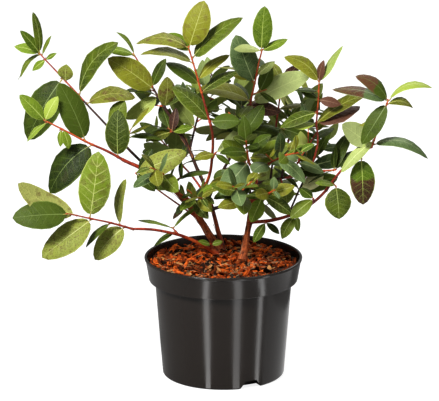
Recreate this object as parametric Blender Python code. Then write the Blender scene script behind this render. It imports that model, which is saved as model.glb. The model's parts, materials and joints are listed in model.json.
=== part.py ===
"""Honeyberry shrub in a three-litre nursery pot.

The origin is the centre of the pot's flat underside. With the shrub seen from its front, +X is
right, +Y is away from the viewer and +Z is up. The tables are in millimetres and degrees: a
heading of 0 points right, 90 away and 270 towards the viewer, and a rise of 90 points straight
up. The meshes are in metres.

The shrub is grown by rule. A shoot leaves its parent at a share of the parent's length, goes a
stated reach along a heading and a rise, and bows by its arch (upwards) and its sway (to the left
of its heading). Bare woody shoots are limbs. A leafy shoot is a spray: a stem that carries set
leaves, pairs of leaves that follow a rule, and short side twigs with small leaves of their own.
A set leaf may state how far it arches and how far it sweeps aside, as shares of its length.
"""

import math
import random
from collections import namedtuple

import bmesh
import bpy
from mathutils import Matrix, Vector
from mathutils.bvhtree import BVHTree

MM = 0.001
GAP = 0.3

# Pot, in millimetres
RIM_RADIUS = 95.0
POT_HEIGHT = 146.0
LIP_OUT = 1.2
LIP_DEPTH = 3.5
COLLAR_DEPTH = 28.0
COLLAR_FOOT_RADIUS = 89.5
BODY_TOP_RADIUS = 82.4
BODY_FOOT_RADIUS = 73.4
FOOT_ROUND = 3.0
WALL = 2.0
FLOOR = 2.5
CENTRE_RADIUS = 20.0
ROUND_STEPS = 28
FIRST_EDGE = 0.3
NOTCH_HEADINGS = (-63.0, 57.0, 177.0)
NOTCH_HEIGHT = 10.0
NOTCH_FOOT_WIDTH = 29.0
NOTCH_TOP_WIDTH = 14.0
NOTCH_DEPTH = 15.0
NOTCH_WALL = 2.0
NOTCH_SPANS = 4

# Filling of the pot, in millimetres
MULCH_TOP = 138.0
MULCH_DEPTH = 24.0
MULCH_DIP = 4.0
FOOT_CLEARING = 15.0
MULCH_RINGS = (70.0, 52.0, 34.0, 16.0)

# Stems, in millimetres
LIMB_SIDES = 7
LIMB_STEPS = 6
SPRAY_SIDES = 5
SPRAY_STEPS = 4
TWIG_SIDES = 3
TWIG_REACH = (14.0, 24.0)
TWIG_THICK = 1.7
TWIG_THIN = 1.3
TWIG_BUD = 2.0
TWIG_ROOM = 4.0
BUD = 2.5
FIRST_NODE = 3.0
FLARE_SHARE = 0.55
FLARE_HEIGHT = 9.0

# Leaves
LEAF_STATIONS = ((0.07, 0.10), (0.38, 1.0), (0.70, 0.84))
LEAF_THICKNESS = 0.014
LEAF_BREADTH = 0.46
STALK_ROOT = 0.4
CLEARANCE = 0.4
ASIDE_TURNS = ((0, 0), (9, 0), (-9, 0), (0, 9), (0, -9), (16, 8), (-16, 8), (16, -8), (-16, -8),
               (0, 18), (0, -18), (26, 0), (-26, 0))
SHORTER = (1.0, 0.8, 0.62)
CROWN_AXIS = (0.0, 30.0)

Foot = namedtuple("Foot", "x y")
Limb = namedtuple("Limb", "name parent along heading rise reach arch sway thick thin")
Spray = namedtuple("Spray", "name parent along heading rise reach arch sway thick thin leaves pairs")
Leaf = namedtuple("Leaf", "along heading rise length face broad arch sweep", defaults=(1.0, None, 0.0))
Blade = namedtuple("Blade", "root ahead normal length breadth curl fold sweep radius")
Pairs = namedtuple("Pairs", "count first spin longest twigs")
Arc = namedtuple("Arc", "foot belly tip thick thin side")

GROUND = {
    "left_stem": Foot(-6, 48),
    "tall_stem": Foot(-1.6, 62),
    "right_trunk": Foot(23.6, 11),
    "low_left_arm": Foot(-7.5, 35),
}

LIMBS = (
    Limb("left_stem", None, 0, 198, 54, 124, 6, 0, 8.6, 8.0),
    Limb("tall_stem", None, 0, 158, 66, 182, 10, 0, 5.4, 3.4),
    Limb("right_trunk", None, 0, 333, 80, 74, 0, 0, 8.0, 5.6),
    Limb("low_left_arm", None, 0, 205, 22, 120, 9, 0, 4.4, 3.0),
    Limb("left_arm", "left_stem", 1, 195, 27, 49, 0, 0, 5.6, 4.2),
    Limb("upper_left_stem", "left_stem", 0.92, 153, 36, 86, -3, 0, 3.8, 3.0),
    Limb("red_stem", "left_stem", 0.52, 283, 56, 152, 0, 10, 4.0, 3.0),
    Limb("centre_stem", "tall_stem", 0.36, 310, 55, 113, 0, 0, 3.8, 2.8),
    Limb("right_leader", "right_trunk", 1, 261, 62, 65, 0, 7, 4.4, 3.2),
    Limb("cross_branch", "tall_stem", 0.27, 299, 20, 124, 0, 0, 4.4, 3.4),
    Limb("right_branch", "right_trunk", 0.68, 332, 28, 112, -11, 0, 4.4, 3.4),
    Limb("right_reach", "right_branch", 1, 339, 46, 80, 4, 0, 3.2, 2.4),
    Limb("inner_branch", "right_leader", 0.5, 15, 6, 79, 0, 0, 3.2, 2.6),
    Limb("right_upright", "inner_branch", 0.8, 287, 67, 70, 0, 5, 2.6, 2.2),
    Limb("middle_upright", "inner_branch", 0.2, 80, 52, 86, 0, 0, 2.6, 2.2),
    Limb("rear_middle_branch", "right_trunk", 0.95, 97, 25, 128, 8, 0, 3.4, 2.4),
    Limb("rear_left_branch", "tall_stem", 0.25, 116, 24, 90, 5, 0, 3.2, 2.4),
    Limb("rear_right_branch", "inner_branch", 0.38, 83, 20, 78, 5, 0, 2.8, 2.2),
)

SPRAYS = (
    Spray("low_left_spray", "low_left_arm", 1, 206, 19, 90, 1, 0, 2.8, 1.6,
          (Leaf(0.66, 20, 82, 82, 0, 1.12), Leaf(0.86, 180, 29, 80, 215), Leaf(0.97, 190, -1, 68, 15, 1.1),
           Leaf(0.62, 190, -36, 76, 25, 1.05), Leaf(0.34, 200, -40, 42, 60),
           Leaf(0.12, 188, -47, 54, 20, 1.15), Leaf(0.20, 0, 83, 58, 60, 1.0, None, 0.06)), None),
    Spray("left_arm_spray", "left_arm", 1, 199, 30, 114, 0, 0, 3.6, 1.7,
          (Leaf(0.09, 90, 86, 57, 15, 1.1), Leaf(0.02, 185, -10, 24, 60),
           Leaf(0.41, 190, -48, 78, 25, 1.15, None, -0.08), Leaf(0.50, 185, 67, 78, 15, 1.05),
           Leaf(1.0, 180, 47, 44, 20), Leaf(1.0, 0, 63, 34, 15, 1.1), Leaf(0.97, 185, -43, 34, 60),
           Leaf(0.80, 190, -85, 22, 40), Leaf(0.78, 0, -52, 24, 30), Leaf(0.80, 350, 8, 26, 60)), None),
    Spray("upper_left_spray", "upper_left_stem", 1, 158, 43, 133, 0, 0, 2.8, 1.6,
          (Leaf(0.06, 0, 62, 40, 25, 1.25), Leaf(0.37, 0, 8, 60, 50, 1.25, 0.16),
           Leaf(0.47, 350, 55, 84, 45, 0.9, None, 0.14), Leaf(0.69, 185, -60, 88, 15, 1.1),
           Leaf(0.65, 280, 72, 24, 10, 1.7), Leaf(0.92, 0, 32, 16, 30), Leaf(0.92, 190, -38, 21, 30),
           Leaf(1.0, 190, -51, 38, 60, 0.8, None, -0.2), Leaf(1.0, 178, 16, 32, 35, 1.15),
           Leaf(0.97, 0, 66, 28, 60, 0.8), Leaf(1.0, 180, 82, 52, 40, 0.6), Leaf(1.0, 200, 69, 39, 40, 0.8),
           Leaf(0.99, 170, -41, 46, 70, 0.6, None, -0.2), Leaf(1.0, 0, 86, 30, 50, 0.7)), None),
    Spray("tall_spray", "tall_stem", 1, 158, 58, 76, 0, 0, 3.0, 1.6,
          (Leaf(0.0, 150, 76, 38, 25, 1.5), Leaf(0.36, 180, 35, 69, 15), Leaf(0.42, 0, 65, 39, 35),
           Leaf(0.25, 190, 10, 42, 70, 1.0, 0.1), Leaf(0.25, 175, -36, 50, 200),
           Leaf(1.0, 180, 12, 35, 50, 1.1), Leaf(1.0, 190, 53, 37, 60, 0.7, None, -0.14),
           Leaf(0.05, 20, 20, 34, 50), Leaf(0.97, 165, 20, 48, 70, 0.6)), None),
    Spray("red_spray", "red_stem", 1, 231, 68, 107, 0, 0, 2.8, 1.7,
          (Leaf(1.0, 20, 71, 58, 10, 1.2), Leaf(0.86, 0, 40, 77, 45, 0.9, None, 0.05),
           Leaf(0.80, 182, 10, 63, 55, 0.9, 0.14), Leaf(1.0, 170, 3, 63, 50, 0.95, 0.18),
           Leaf(0.52, 180, 41, 47, 40), Leaf(0.58, 10, 38, 47, 45, 0.95, None, 0.08),
           Leaf(0.42, 10, 30, 48, 50), Leaf(0.95, 160, 42, 34, 30, 1.2), Leaf(0.04, 150, 82, 52, 5, 0.95),
           Leaf(0.03, 180, 38, 61, 40), Leaf(0.0, 350, 4, 36, 25, 1.4)), None),
    Spray("centre_spray", "centre_stem", 1, 316, 75, 108, 0, 0, 2.8, 1.7,
          (Leaf(1.0, 20, 86, 54, 5, 0.95), Leaf(1.0, 5, 24, 34, 45), Leaf(1.0, 180, 5, 33, 50),
           Leaf(0.60, 180, 71, 62, 10, 1.2), Leaf(0.70, 10, 42, 28, 30),
           Leaf(0.38, 178, 12, 67, 50, 1.0, 0.12), Leaf(0.36, 350, 27, 82, 200, 0.75, None, -0.06),
           Leaf(0.33, 250, -10, 36, 45), Leaf(0.32, 0, -10, 38, 20), Leaf(0.30, 190, -60, 28, 80),
           Leaf(0.0, 350, -8, 46, 20), Leaf(0.02, 215, 20, 40, 30), Leaf(0.98, 200, 80, 17, 0, 1.8),
           Leaf(0.47, 190, 60, 25, 20, 1.2)), None),
    Spray("leader_spray", "right_leader", 1, 264, 44, 50, 0, 0, 2.6, 1.6,
          (Leaf(0.05, 195, 40, 42, 15, 1.2), Leaf(0.05, 200, -46, 52, 15, 1.25),
           Leaf(0.08, 350, 24, 54, 35, 1.1)), Pairs(3, 0.5, 20, 46, 0)),
    Spray("cross_spray", "cross_branch", 1, 300, 28, 34, 0, 0, 2.8, 1.7,
          (Leaf(0.1, 182, 2, 26, 50), Leaf(0.1, 190, -66, 34, 10, 1.2), Leaf(0.2, 355, -32, 40, 35, 1.2)),
           Pairs(2, 0.6, 0, 34, 0)),
    Spray("left_node_spray", "left_stem", 0.48, 205, 39, 95, 0, 0, 2.4, 1.6,
          (Leaf(1.0, 350, 26, 68, 15, 0.95), Leaf(1.0, 330, -35, 32, 30, 1.2), Leaf(0.95, 20, 62, 36, 30),
           Leaf(0.9, 350, -12, 38, 30), Leaf(0.15, 200, -40, 19, 50, 1.1)), None),
    Spray("low_arm_spray", "low_left_arm", 0.5, 150, 40, 8, 0, 0, 2.0, 1.6,
          (Leaf(1.0, 180, 14, 44, 70, 0.7), Leaf(1.0, 10, 50, 42, 70, 0.7), Leaf(0.2, 200, -28, 32, 60)),
           None),
    Spray("basal_sprig", "low_left_arm", 0.1, 270, 50, 8, 0, 0, 1.8, 1.4,
          (Leaf(1.0, 200, 20, 18, 40), Leaf(1.0, 0, 15, 15, 30), Leaf(0.6, 300, 60, 14, 40)), None),
    Spray("knot_spray", "left_stem", 0.6, 281, 20, 84, 3, 0, 2.4, 1.6, (), Pairs(6, 0.15, 30, 34, 3)),
    Spray("upper_stem_spray", "upper_left_stem", 0.8, 40, 45, 8, 0, 0, 2.0, 1.6,
          (Leaf(1.0, 0, -4, 42, 60, 0.8, 0.14), Leaf(1.0, 120, 50, 26, 60)), None),
    Spray("tall_side_spray", "tall_stem", 0.82, 200, 20, 9, 0, 0, 2.0, 1.6,
          (Leaf(1.0, 190, -18, 30, 30), Leaf(1.0, 180, 8, 30, 85), Leaf(1.0, 60, 62, 30, 30),
           Leaf(0.9, 0, 15, 26, 40, 1.1)), None),
    Spray("red_low_spray", "red_stem", 0.62, 290, 45, 9, 0, 0, 2.0, 1.6,
          (Leaf(1.0, 180, 48, 45, 15, 1.25), Leaf(1.0, 5, 47, 43, 215, 0.8), Leaf(0.7, 185, 8, 28, 40),
           Leaf(0.7, 340, -30, 22, 40)), None),
    Spray("centre_low_spray", "centre_stem", 0.42, 300, 30, 9, 0, 0, 2.0, 1.6,
          (Leaf(1.0, 50, 60, 36, 20, 1.2), Leaf(1.0, 190, -60, 27, 20, 1.5), Leaf(0.7, 0, -10, 30, 40)),
           None),
    Spray("leader_low_spray", "right_leader", 0.42, 240, 10, 9, 0, 0, 2.0, 1.6,
          (Leaf(1.0, 190, -14, 48, 40), Leaf(1.0, 200, -64, 44, 20, 1.1), Leaf(1.0, 320, -25, 32, 30)),
           None),
    Spray("front_spray", "right_trunk", 0.85, 256, 33, 98, 4, 0, 2.8, 1.6, (), Pairs(5, 0.35, 10, 50, 2)),
    Spray("right_foot_spray", "right_branch", 0.14, 290, 10, 8, 0, 0, 2.0, 1.6,
          (Leaf(1.0, 205, -55, 28, 30), Leaf(1.0, 340, -35, 22, 40)), None),
    Spray("right_low_spray", "right_branch", 0.5, 300, 10, 9, 0, 0, 2.0, 1.6,
          (Leaf(0.8, 200, -58, 32, 30, 1.1), Leaf(1.0, 60, -72, 22, 40), Leaf(1.0, 300, -78, 36, 200, 1.1)),
           None),
    Spray("right_knee_spray", "right_branch", 0.8, 280, 40, 8, 0, 0, 2.0, 1.6,
          (Leaf(1.0, 190, -30, 36, 30, 1.1), Leaf(1.0, 150, 30, 22, 30, 1.4)), None),
    Spray("right_middle_spray", "right_reach", 0.15, 300, -10, 8, 0, 0, 2.2, 1.7,
          (Leaf(1.0, 300, -78, 40, 0, 1.6), Leaf(1.0, 190, 10, 26, 50)), None),
    Spray("right_outer_spray", "right_reach", 0.72, 310, 15, 8, 0, 0, 2.2, 1.7,
          (Leaf(1.0, 285, -80, 56, 0, 1.25), Leaf(1.0, 200, -20, 28, 40)), None),
    Spray("right_tip_spray", "right_reach", 1, 332, 70, 62, 0, 0, 2.4, 1.6,
          (Leaf(0.05, 190, 36, 45, 200, 1.3), Leaf(0.0, 355, -12, 68, 55, 0.75, 0.22),
           Leaf(0.02, 20, 74, 32, 40, 0.8), Leaf(0.95, 188, -58, 57, 25, 0.85),
           Leaf(1.0, 178, 12, 67, 55, 1.0, 0.1), Leaf(1.0, 182, 38, 49, 45, 1.15, None, -0.12),
           Leaf(1.0, 5, 16, 54, 60, 0.8, 0.24), Leaf(0.92, 355, -6, 31, 45, 1.1, 0.25),
           Leaf(0.5, 195, -5, 30, 40), Leaf(0.14, 200, -40, 54, 20, 0.65)), None),
    Spray("inner_low_spray", "inner_branch", 0.35, 290, -30, 7, 0, 0, 2.0, 1.6,
          (Leaf(1.0, 330, -76, 25, 5, 1.6), Leaf(1.0, 190, 5, 26, 50)), None),
    Spray("inner_spray", "inner_branch", 1, 330, 12, 18, 0, 0, 2.4, 1.7,
          (Leaf(0.0, 340, -4, 42, 20, 1.1), Leaf(0.0, 210, -24, 38, 20, 0.95), Leaf(1.0, 80, 72, 32, 60),
           Leaf(1.0, 30, 36, 36, 50), Leaf(0.9, 175, -24, 46, 75, 0.7), Leaf(0.9, 60, 68, 52, 40)), None),
    Spray("slant_spray", "inner_branch", 0.5, 350, 60, 64, 0, 0, 2.0, 1.5,
          (Leaf(0.45, 100, 72, 30, 180), Leaf(0.3, 350, -25, 34, 30), Leaf(0.35, 190, 5, 30, 40),
           Leaf(0.12, 0, -12, 34, 30), Leaf(0.8, 30, 20, 34, 50), Leaf(1.0, 350, 62, 30, 40)), None),
    Spray("upright_spray", "right_upright", 1, 280, 76, 58, 0, 0, 2.2, 1.6,
          (Leaf(1.0, 0, 59, 52, 65, 0.9), Leaf(1.0, 172, 36, 51, 35, 1.0, None, -0.18),
           Leaf(1.0, 60, 75, 28, 50), Leaf(0.6, 350, -10, 28, 20), Leaf(0.62, 180, 30, 26, 40),
           Leaf(0.04, 0, 32, 69, 50, 0.8), Leaf(0.0, 10, 20, 56, 50, 1.15), Leaf(0.3, 182, -22, 48, 35),
           Leaf(0.02, 190, -10, 28, 45), Leaf(0.78, 200, 8, 30, 60)), None),
    Spray("middle_spray", "middle_upright", 1, 60, 75, 36, 0, 0, 2.2, 1.6,
          (Leaf(0.1, 5, 10, 34, 60), Leaf(0.1, 185, 10, 40, 40), Leaf(0.6, 0, 40, 36, 50),
           Leaf(0.6, 180, 40, 32, 50), Leaf(1.0, 150, 60, 28, 20), Leaf(1.0, 20, 45, 32, 30)), None),
    Spray("middle_low_spray", "middle_upright", 0.72, 320, 30, 9, 0, 0, 2.0, 1.6,
          (Leaf(0.6, 185, 0, 32, 40), Leaf(1.0, 350, -22, 42, 20), Leaf(1.0, 205, -20, 32, 30)), None),
    Spray("rear_left_spray", "rear_left_branch", 1, 118, 18, 74, 0, 0, 2.4, 1.6,
          (), Pairs(6, 0.0, 20, 58, 3)),
    Spray("rear_middle_spray", "rear_middle_branch", 1, 92, 26, 78, 0, 0, 2.4, 1.6,
          (), Pairs(6, 0.0, 15, 60, 3)),
    Spray("rear_right_spray", "rear_right_branch", 1, 70, 24, 76, 0, 0, 2.4, 1.6,
          (), Pairs(6, 0.0, 40, 58, 3)),
    Spray("rear_low_spray", "right_trunk", 0.5, 72, 14, 124, 5, 0, 2.8, 1.6, (), Pairs(6, 0.3, 0, 52, 3)),
    Spray("rear_top_spray", "tall_stem", 0.7, 74, 36, 118, 4, 0, 2.8, 1.6, (), Pairs(7, 0.25, 60, 56, 3)),
    Spray("rear_outer_spray", "right_branch", 0.45, 62, 34, 118, 6, 0, 2.6, 1.6,
          (), Pairs(6, 0.3, 20, 52, 3)),
    Spray("front_left_spray", "left_stem", 0.82, 250, 30, 92, 4, 0, 2.6, 1.6, (), Pairs(5, 0.3, 50, 46, 1)),
    Spray("front_right_spray", "right_leader", 0.78, 306, 26, 98, 4, 0, 2.6, 1.6,
          (), Pairs(5, 0.3, 15, 46, 2)),
)


def unit(heading, rise):
    """Return the direction of a heading and a rise."""
    turn = math.radians(heading)
    lift = math.radians(rise)
    return Vector((math.cos(lift) * math.cos(turn), math.cos(lift) * math.sin(turn), math.sin(lift)))


def square_to(vector, axis):
    """Return the part of a vector that is square to an axis, at length one."""
    return (vector - axis * vector.dot(axis)).normalized()


def place(arc, share):
    """Return the point at a share of an arc's length."""
    rest = 1 - share
    return arc.foot * rest * rest + arc.belly * 2 * share * rest + arc.tip * share * share


def course(arc, share):
    """Return the direction in which an arc runs at a share of its length."""
    return ((arc.belly - arc.foot) * (1 - share) + (arc.tip - arc.belly) * share).normalized()


def girth(arc, share):
    """Return an arc's radius at a share of its length."""
    return (arc.thick + (arc.thin - arc.thick) * share) / 2


def node_at(arc, share):
    """Return the share at which a leaf stands: as stated, but never at the very foot."""
    return max(share, FIRST_NODE / (arc.tip - arc.foot).length)


def bow(foot, shoot):
    """Return the arc of a shoot that starts at a foot, all in millimetres."""
    ahead = unit(shoot.heading, shoot.rise)
    upward = unit(shoot.heading, shoot.rise + 90)
    side = upward.cross(ahead)
    tip = foot + ahead * shoot.reach
    belly = (foot + tip) / 2 + (upward * shoot.arch + side * shoot.sway) * 2
    return Arc(foot, belly, tip, shoot.thick, shoot.thin, side)


def seat(shoot, arcs):
    """Return where a shoot's foot lies and the normal of the face that it stands on."""
    if shoot.parent is None:
        ground = GROUND[shoot.name]
        return Vector((ground.x, ground.y, MULCH_TOP + GAP)), Vector((0, 0, 1))
    parent = arcs[shoot.parent]
    axis = course(parent, shoot.along)
    if shoot.along == 1:
        return parent.tip + axis * GAP, axis
    outward = square_to(course(bow(Vector(), shoot), 0), axis)
    return place(parent, shoot.along) + outward * (girth(parent, shoot.along) + GAP), outward


def ring(arc, share, sides, wider):
    """Return one ring of points round an arc."""
    axis = course(arc, share)
    across = square_to(arc.side, axis)
    over = axis.cross(across)
    radius = girth(arc, share) * wider
    turns = [2 * math.pi * index / sides for index in range(sides)]
    centre = place(arc, share)
    return [centre + (across * math.cos(turn) + over * math.sin(turn)) * radius for turn in turns]


def lay_on(points, along, origin, normal):
    """Slide points along a direction until they lie on a plane."""
    slope = along.dot(normal)
    return [point + along * ((origin - point).dot(normal) / slope) for point in points]


def tube(arc, normal, sides, steps, bud=0, flare=0):
    """Return a closed tube along an arc, with its foot cut flat on the face that carries it."""
    points = []
    reach = (arc.tip - arc.foot).length
    for step in range(steps + 1):
        share = step / steps
        loop = ring(arc, share, sides, 1 + flare * math.exp(-share * reach / FLARE_HEIGHT))
        if step == 0:
            loop = lay_on(loop, course(arc, 0), arc.foot, normal)
        points += loop
    faces = [tuple(reversed(range(sides)))]
    for step in range(steps):
        low = step * sides
        for index in range(sides):
            after = (index + 1) % sides
            faces.append((low + index, low + after, low + sides + after, low + sides + index))
    last = steps * sides
    if bud:
        points.append(arc.tip + course(arc, 1) * bud)
        faces += [(last + index, last + (index + 1) % sides, len(points) - 1) for index in range(sides)]
    else:
        faces.append(tuple(range(last, last + sides)))
    return points, faces


def facing(ahead, face):
    """Return the normal of a set leaf's upper side: 0 faces the front, 90 the sky, 180 the back."""
    front = square_to(Vector((0, -1, 0.35)), ahead)
    above = ahead.cross(front)
    if above.z < 0:
        above.negate()
    turn = math.radians(face)
    return front * math.cos(turn) + above * math.sin(turn)


def blade(leaf, extra=0):
    """Return a closed leaf: a folded, arched blade on a short stalk that is rooted in its stem."""
    side = leaf.normal.cross(leaf.ahead)
    thick = leaf.length * LEAF_THICKNESS / 2 + extra
    points = []
    for share, width in LEAF_STATIONS:
        bow_out = (leaf.normal * leaf.curl + side * leaf.sweep) * (leaf.length * 4 * share * (1 - share))
        rib = leaf.root + leaf.ahead * (share * leaf.length) + bow_out
        half = max(leaf.breadth * leaf.length * width / 2, 0.6) + extra
        lift = leaf.normal * (leaf.fold * half)
        points += [rib - side * half + lift, rib + leaf.normal * thick]
        points += [rib + side * half + lift, rib - leaf.normal * thick]
    faces = []
    for low in (0, 4):
        for index in range(4):
            after = (index + 1) % 4
            faces.append((low + index, low + 4 + index, low + 4 + after))
            faces.append((low + index, low + 4 + after, low + after))
    points += [leaf.root - leaf.ahead * (leaf.radius * STALK_ROOT)]
    points += [leaf.root + leaf.ahead * (leaf.length + extra)]
    faces += [(12, index, (index + 1) % 4) for index in range(4)]
    faces += [(13, 8 + (index + 1) % 4, 8 + index) for index in range(4)]
    return points, faces


def tree_of(shape):
    """Return a search tree of a shape, to test what it touches."""
    points, faces = shape
    return BVHTree.FromPolygons(points, faces)


def blade_tree(leaf):
    """Return a search tree of a leaf's blade, a little enlarged and without its rooted end."""
    points, faces = blade(leaf, CLEARANCE)
    return BVHTree.FromPolygons(points, [corners for corners in faces if 12 not in corners])


class Growth:
    """What has grown so far, so that nothing new grows into it."""

    def __init__(self):
        self.others = []
        self.own = []

    def is_free(self, tree):
        """Return whether a search tree touches nothing that has grown."""
        return not any(tree.overlap(grown) for grown in self.others + self.own)

    def close(self):
        """Count what the finished spray holds as grown by others."""
        self.others += self.own
        self.own = []


def turned(ahead, normal, sideways, upwards):
    """Return a leaf's direction and normal after it gives way to a neighbour."""
    turn = Matrix.Rotation(math.radians(sideways), 3, normal)
    turn = turn @ Matrix.Rotation(math.radians(upwards), 3, normal.cross(ahead))
    return turn @ ahead, turn @ normal


def add_leaf(growth, shapes, leaf):
    """Add a leaf where it touches nothing, turned aside or shortened a little if need be."""
    for share in SHORTER:
        for sideways, upwards in ASIDE_TURNS:
            ahead, normal = turned(leaf.ahead, leaf.normal, sideways, upwards)
            tried = leaf._replace(ahead=ahead, normal=normal, length=leaf.length * share)
            tree = blade_tree(tried)
            if growth.is_free(tree):
                shapes.append(blade(tried))
                growth.own.append(tree)
                return


def habit(draw, length):
    """Draw a leaf's breadth, curl and fold."""
    breadth = LEAF_BREADTH + draw.uniform(-0.05, 0.05) + 0.1 * max(0, 1 - length / 40)
    return breadth, draw.uniform(0.03, 0.09), draw.uniform(0.10, 0.30)


def set_leaves(spray, arc, growth, shapes, draw):
    """Add the leaves whose place on the spray is stated."""
    for leaf in spray.leaves:
        ahead = unit(leaf.heading, leaf.rise)
        share = node_at(arc, leaf.along)
        breadth, curl, fold = habit(draw, leaf.length)
        if leaf.arch is not None:
            curl = leaf.arch
        add_leaf(growth, shapes, Blade(place(arc, share), ahead, facing(ahead, leaf.face), leaf.length,
                                       breadth * leaf.broad, curl, fold, leaf.sweep, girth(arc, share)))


def outward_face(root, ahead, draw):
    """Return the normal of a leaf that turns its upper side up and out of the crown."""
    outward = Vector((root.x - CROWN_AXIS[0], root.y - CROWN_AXIS[1], 0)).normalized()
    noise = Vector([draw.uniform(-0.35, 0.35) for _ in range(3)])
    return square_to(Vector((0, 0, 0.8)) + outward * 0.6 + noise, ahead)


def paired_leaves(arc, share, spin, longest, growth, shapes, draw):
    """Add one pair of opposite leaves."""
    share = node_at(arc, share)
    axis = course(arc, share)
    across = square_to(arc.side, axis)
    over = axis.cross(across)
    for side in (1, -1):
        turn = math.radians(spin + draw.uniform(-12, 12))
        spread = math.radians(62 - 22 * share + draw.uniform(-9, 9))
        outward = (across * math.cos(turn) + over * math.sin(turn)) * side
        ahead = (axis * math.cos(spread) + outward * math.sin(spread)).normalized()
        length = longest * draw.uniform(0.85, 1.1)
        breadth, curl, fold = habit(draw, length)
        root = place(arc, share)
        normal = outward_face(root, ahead, draw)
        add_leaf(growth, shapes, Blade(root, ahead, normal, length, breadth, curl, fold, 0, girth(arc, share)))


def rule_leaves(arc, pairs, growth, shapes, draw):
    """Add the pairs of leaves that follow the rule, smaller towards the tip."""
    for index in range(pairs.count):
        step = index / max(pairs.count - 1, 1)
        share = pairs.first + (1 - pairs.first) * step ** 0.85
        size = pairs.longest * (1 - 0.5 * step * step)
        paired_leaves(arc, share, pairs.spin + 90 * index, size, growth, shapes, draw)


def side_twig(arc, pairs, index, growth, shapes, draw):
    """Add a short side twig with two pairs of small leaves."""
    share = node_at(arc, pairs.first + (0.75 - pairs.first) * (index + 0.5) / pairs.twigs)
    axis = course(arc, share)
    across = square_to(arc.side, axis)
    outward = across * (1 if index % 2 else -1) + axis.cross(across) * draw.uniform(0.2, 0.8)
    ahead = (axis * 0.6 + outward.normalized()).normalized()
    reach = draw.uniform(*TWIG_REACH)
    root = place(arc, share)
    twig = Arc(root, root + ahead * reach / 2, root + ahead * reach, TWIG_THICK, TWIG_THIN,
               square_to(Vector((0, 0, 1)), ahead))
    shape = tube(twig, ahead, TWIG_SIDES, 1, TWIG_BUD)
    bare = BVHTree.FromPolygons([point + ahead * TWIG_ROOM for point in shape[0]], shape[1])
    if growth.is_free(bare):
        shapes.append(shape)
        growth.own.append(bare)
        paired_leaves(twig, 0.55, draw.uniform(0, 180), pairs.longest * 0.5, growth, shapes, draw)
        paired_leaves(twig, 1, draw.uniform(0, 180), pairs.longest * 0.4, growth, shapes, draw)


def spray_shapes(spray, arc, stem, growth):
    """Return a spray's stem, twigs and leaves as separate closed shapes."""
    draw = random.Random(spray.name)
    shapes = [stem]
    set_leaves(spray, arc, growth, shapes, draw)
    if spray.pairs:
        rule_leaves(arc, spray.pairs, growth, shapes, draw)
        for index in range(spray.pairs.twigs):
            side_twig(arc, spray.pairs, index, growth, shapes, draw)
    growth.close()
    return shapes


def material(name, colour, roughness):
    """Return a plain material."""
    made = bpy.data.materials.new(name)
    made.use_nodes = True
    shader = made.node_tree.nodes["Principled BSDF"]
    shader.inputs["Base Color"].default_value = (*colour, 1)
    shader.inputs["Roughness"].default_value = roughness
    shader.inputs["Metallic"].default_value = 0
    return made


def add_object(name, points, faces, finish=None):
    """Make a mesh object of points in millimetres and faces."""
    mesh = bpy.data.meshes.new(name)
    mesh.from_pydata([point * MM for point in points], [], faces)
    mesh.validate()
    made = bpy.data.objects.new(name, mesh)
    bpy.context.collection.objects.link(made)
    if finish:
        mesh.materials.append(finish)
    return made


def set_down(made, shape):
    """Replace an object's mesh with its evaluated one and drop its modifiers."""
    bpy.context.view_layer.update()
    graph = bpy.context.evaluated_depsgraph_get()
    mesh = bpy.data.meshes.new_from_object(made.evaluated_get(graph))
    made.modifiers.clear()
    made.data = mesh
    made.data.name = shape


def combine(made, parts, operation):
    """Join a collection of parts to an object, or cut them from it, with one Boolean."""
    group = bpy.data.collections.new(made.name + "_parts")
    bpy.context.scene.collection.children.link(group)
    for part in parts:
        for home in part.users_collection:
            home.objects.unlink(part)
        group.objects.link(part)
        part.hide_render = True
        part.display_type = "WIRE"
    boolean = made.modifiers.new(operation, "BOOLEAN")
    boolean.operand_type = "COLLECTION"
    boolean.collection = group
    boolean.operation = operation
    boolean.solver = "MANIFOLD"
    set_down(made, made.name)
    for part in parts:
        bpy.data.objects.remove(part)
    bpy.data.collections.remove(group)


def inner_radius(height):
    """Return the radius of the pot's inner wall at a height."""
    shoulder = POT_HEIGHT - COLLAR_DEPTH
    if height <= shoulder - WALL:
        share = height / shoulder
        return BODY_FOOT_RADIUS + (BODY_TOP_RADIUS - BODY_FOOT_RADIUS) * share - WALL
    share = (height - shoulder) / COLLAR_DEPTH
    return COLLAR_FOOT_RADIUS + (RIM_RADIUS - LIP_OUT - COLLAR_FOOT_RADIUS) * share - WALL


def pot_outline():
    """Return the pot's section as (radius, height), from under the floor round to its inside."""
    shoulder = POT_HEIGHT - COLLAR_DEPTH
    lip_foot = POT_HEIGHT - LIP_DEPTH
    corner = [math.radians(turn) for turn in (-90, -60, -30, 0)]
    centre = BODY_FOOT_RADIUS - FOOT_ROUND
    outline = [(CENTRE_RADIUS, 0)]
    outline += [(centre + FOOT_ROUND * math.cos(turn), FOOT_ROUND * (1 + math.sin(turn))) for turn in corner]
    outline += [(BODY_TOP_RADIUS, shoulder), (COLLAR_FOOT_RADIUS, shoulder)]
    outline += [(RIM_RADIUS - LIP_OUT, lip_foot), (RIM_RADIUS, lip_foot + LIP_OUT)]
    outline += [(RIM_RADIUS, POT_HEIGHT - 1), (RIM_RADIUS - 1, POT_HEIGHT)]
    outline += [(RIM_RADIUS - LIP_OUT - WALL + 0.6, POT_HEIGHT), (inner_radius(POT_HEIGHT - 2), POT_HEIGHT - 2)]
    outline += [(inner_radius(shoulder + WALL), shoulder + WALL)]
    outline += [(inner_radius(shoulder - WALL), shoulder - WALL), (inner_radius(FLOOR), FLOOR)]
    outline += [(CENTRE_RADIUS, FLOOR)]
    return outline


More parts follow.
